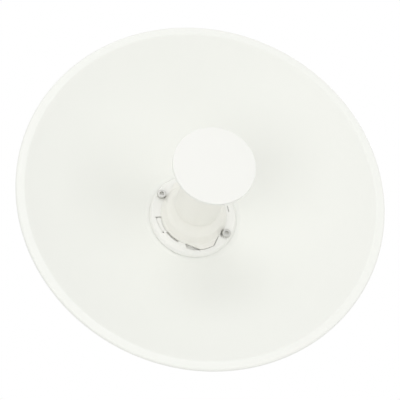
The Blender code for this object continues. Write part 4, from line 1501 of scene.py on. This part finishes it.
class AddBrackets(BuildStep, bpy.types.Operator):
    """Model the tilting yoke and the mast bracket"""
    bl_idname = "antenna.add_brackets"
    bl_label = "Add Brackets"

    def build(self, context):
        sizes = context.scene.antenna_sizes
        zinc = finish(context, "galvanised_sheet")
        hand_over(model_tilt_bracket(sizes), zinc, "bracket_steel", "tilt_bracket")
        hand_over(model_mast_bracket(sizes), zinc, "bracket_steel", "mast_bracket")


class AddFasteners(BuildStep, bpy.types.Operator):
    """Model the bracket screws, earth screw, tilt bolts, washers and nuts"""
    bl_idname = "antenna.add_fasteners"
    bl_label = "Add Fasteners"

    def build(self, context):
        steel = finish(context, "plated_steel")
        for piece, node in model_bracket_screws() + model_tilt_bolts():
            hand_over(piece, steel, "screw_steel", node)


class AddStudio(BuildStep, bpy.types.Operator):
    """Set up the camera, lights, white surround and floor"""
    bl_idname = "antenna.add_studio"
    bl_label = "Add Studio"

    def build(self, context):
        build_studio(context.scene.antenna_studio)


OPERATORS = (AddStudio, AddReflector, AddHubRing, AddHubScrews, AddFeed, AddRearHub,
             AddRadio, AddInlet, AddBrackets, AddFasteners)


class AntennaPanel(bpy.types.Panel):
    """Sizes, colours and building steps of the antenna"""
    bl_idname = "VIEW3D_PT_antenna"
    bl_label = "Dish Antenna"
    bl_space_type = "VIEW_3D"
    bl_region_type = "UI"
    bl_category = "Antenna"

    def draw(self, context):
        for settings in (context.scene.antenna_sizes, context.scene.antenna_colours,
                         context.scene.antenna_studio):
            box = self.layout.box()
            for key in settings.bl_rna.properties.keys():
                if key not in ("rna_type", "name"):
                    box.prop(settings, key)
        for operator in OPERATORS:
            self.layout.operator(operator.bl_idname)


CLASSES = (AntennaSizes, AntennaColours, AntennaStudio) + OPERATORS + (AntennaPanel,)


def register():
    """Register the classes and hang the settings on the scene."""
    for kind in CLASSES:
        bpy.utils.register_class(kind)
    bpy.types.Scene.antenna_sizes = bpy.props.PointerProperty(type=AntennaSizes)
    bpy.types.Scene.antenna_colours = bpy.props.PointerProperty(type=AntennaColours)
    bpy.types.Scene.antenna_studio = bpy.props.PointerProperty(type=AntennaStudio)


def unregister():
    """Take the settings off the scene and the classes out."""
    del bpy.types.Scene.antenna_studio
    del bpy.types.Scene.antenna_colours
    del bpy.types.Scene.antenna_sizes
    for kind in reversed(CLASSES):
        bpy.utils.unregister_class(kind)


def main():
    """Register the add-on and build every piece in order."""
    register()
    bpy.ops.antenna.add_studio()
    bpy.ops.antenna.add_reflector()
    bpy.ops.antenna.add_hub_ring()
    bpy.ops.antenna.add_hub_screws()
    bpy.ops.antenna.add_feed()
    bpy.ops.antenna.add_rear_hub()
    bpy.ops.antenna.add_radio()
    bpy.ops.antenna.add_inlet()
    bpy.ops.antenna.add_brackets()
    bpy.ops.antenna.add_fasteners()


if __name__ == "__main__":
    main()
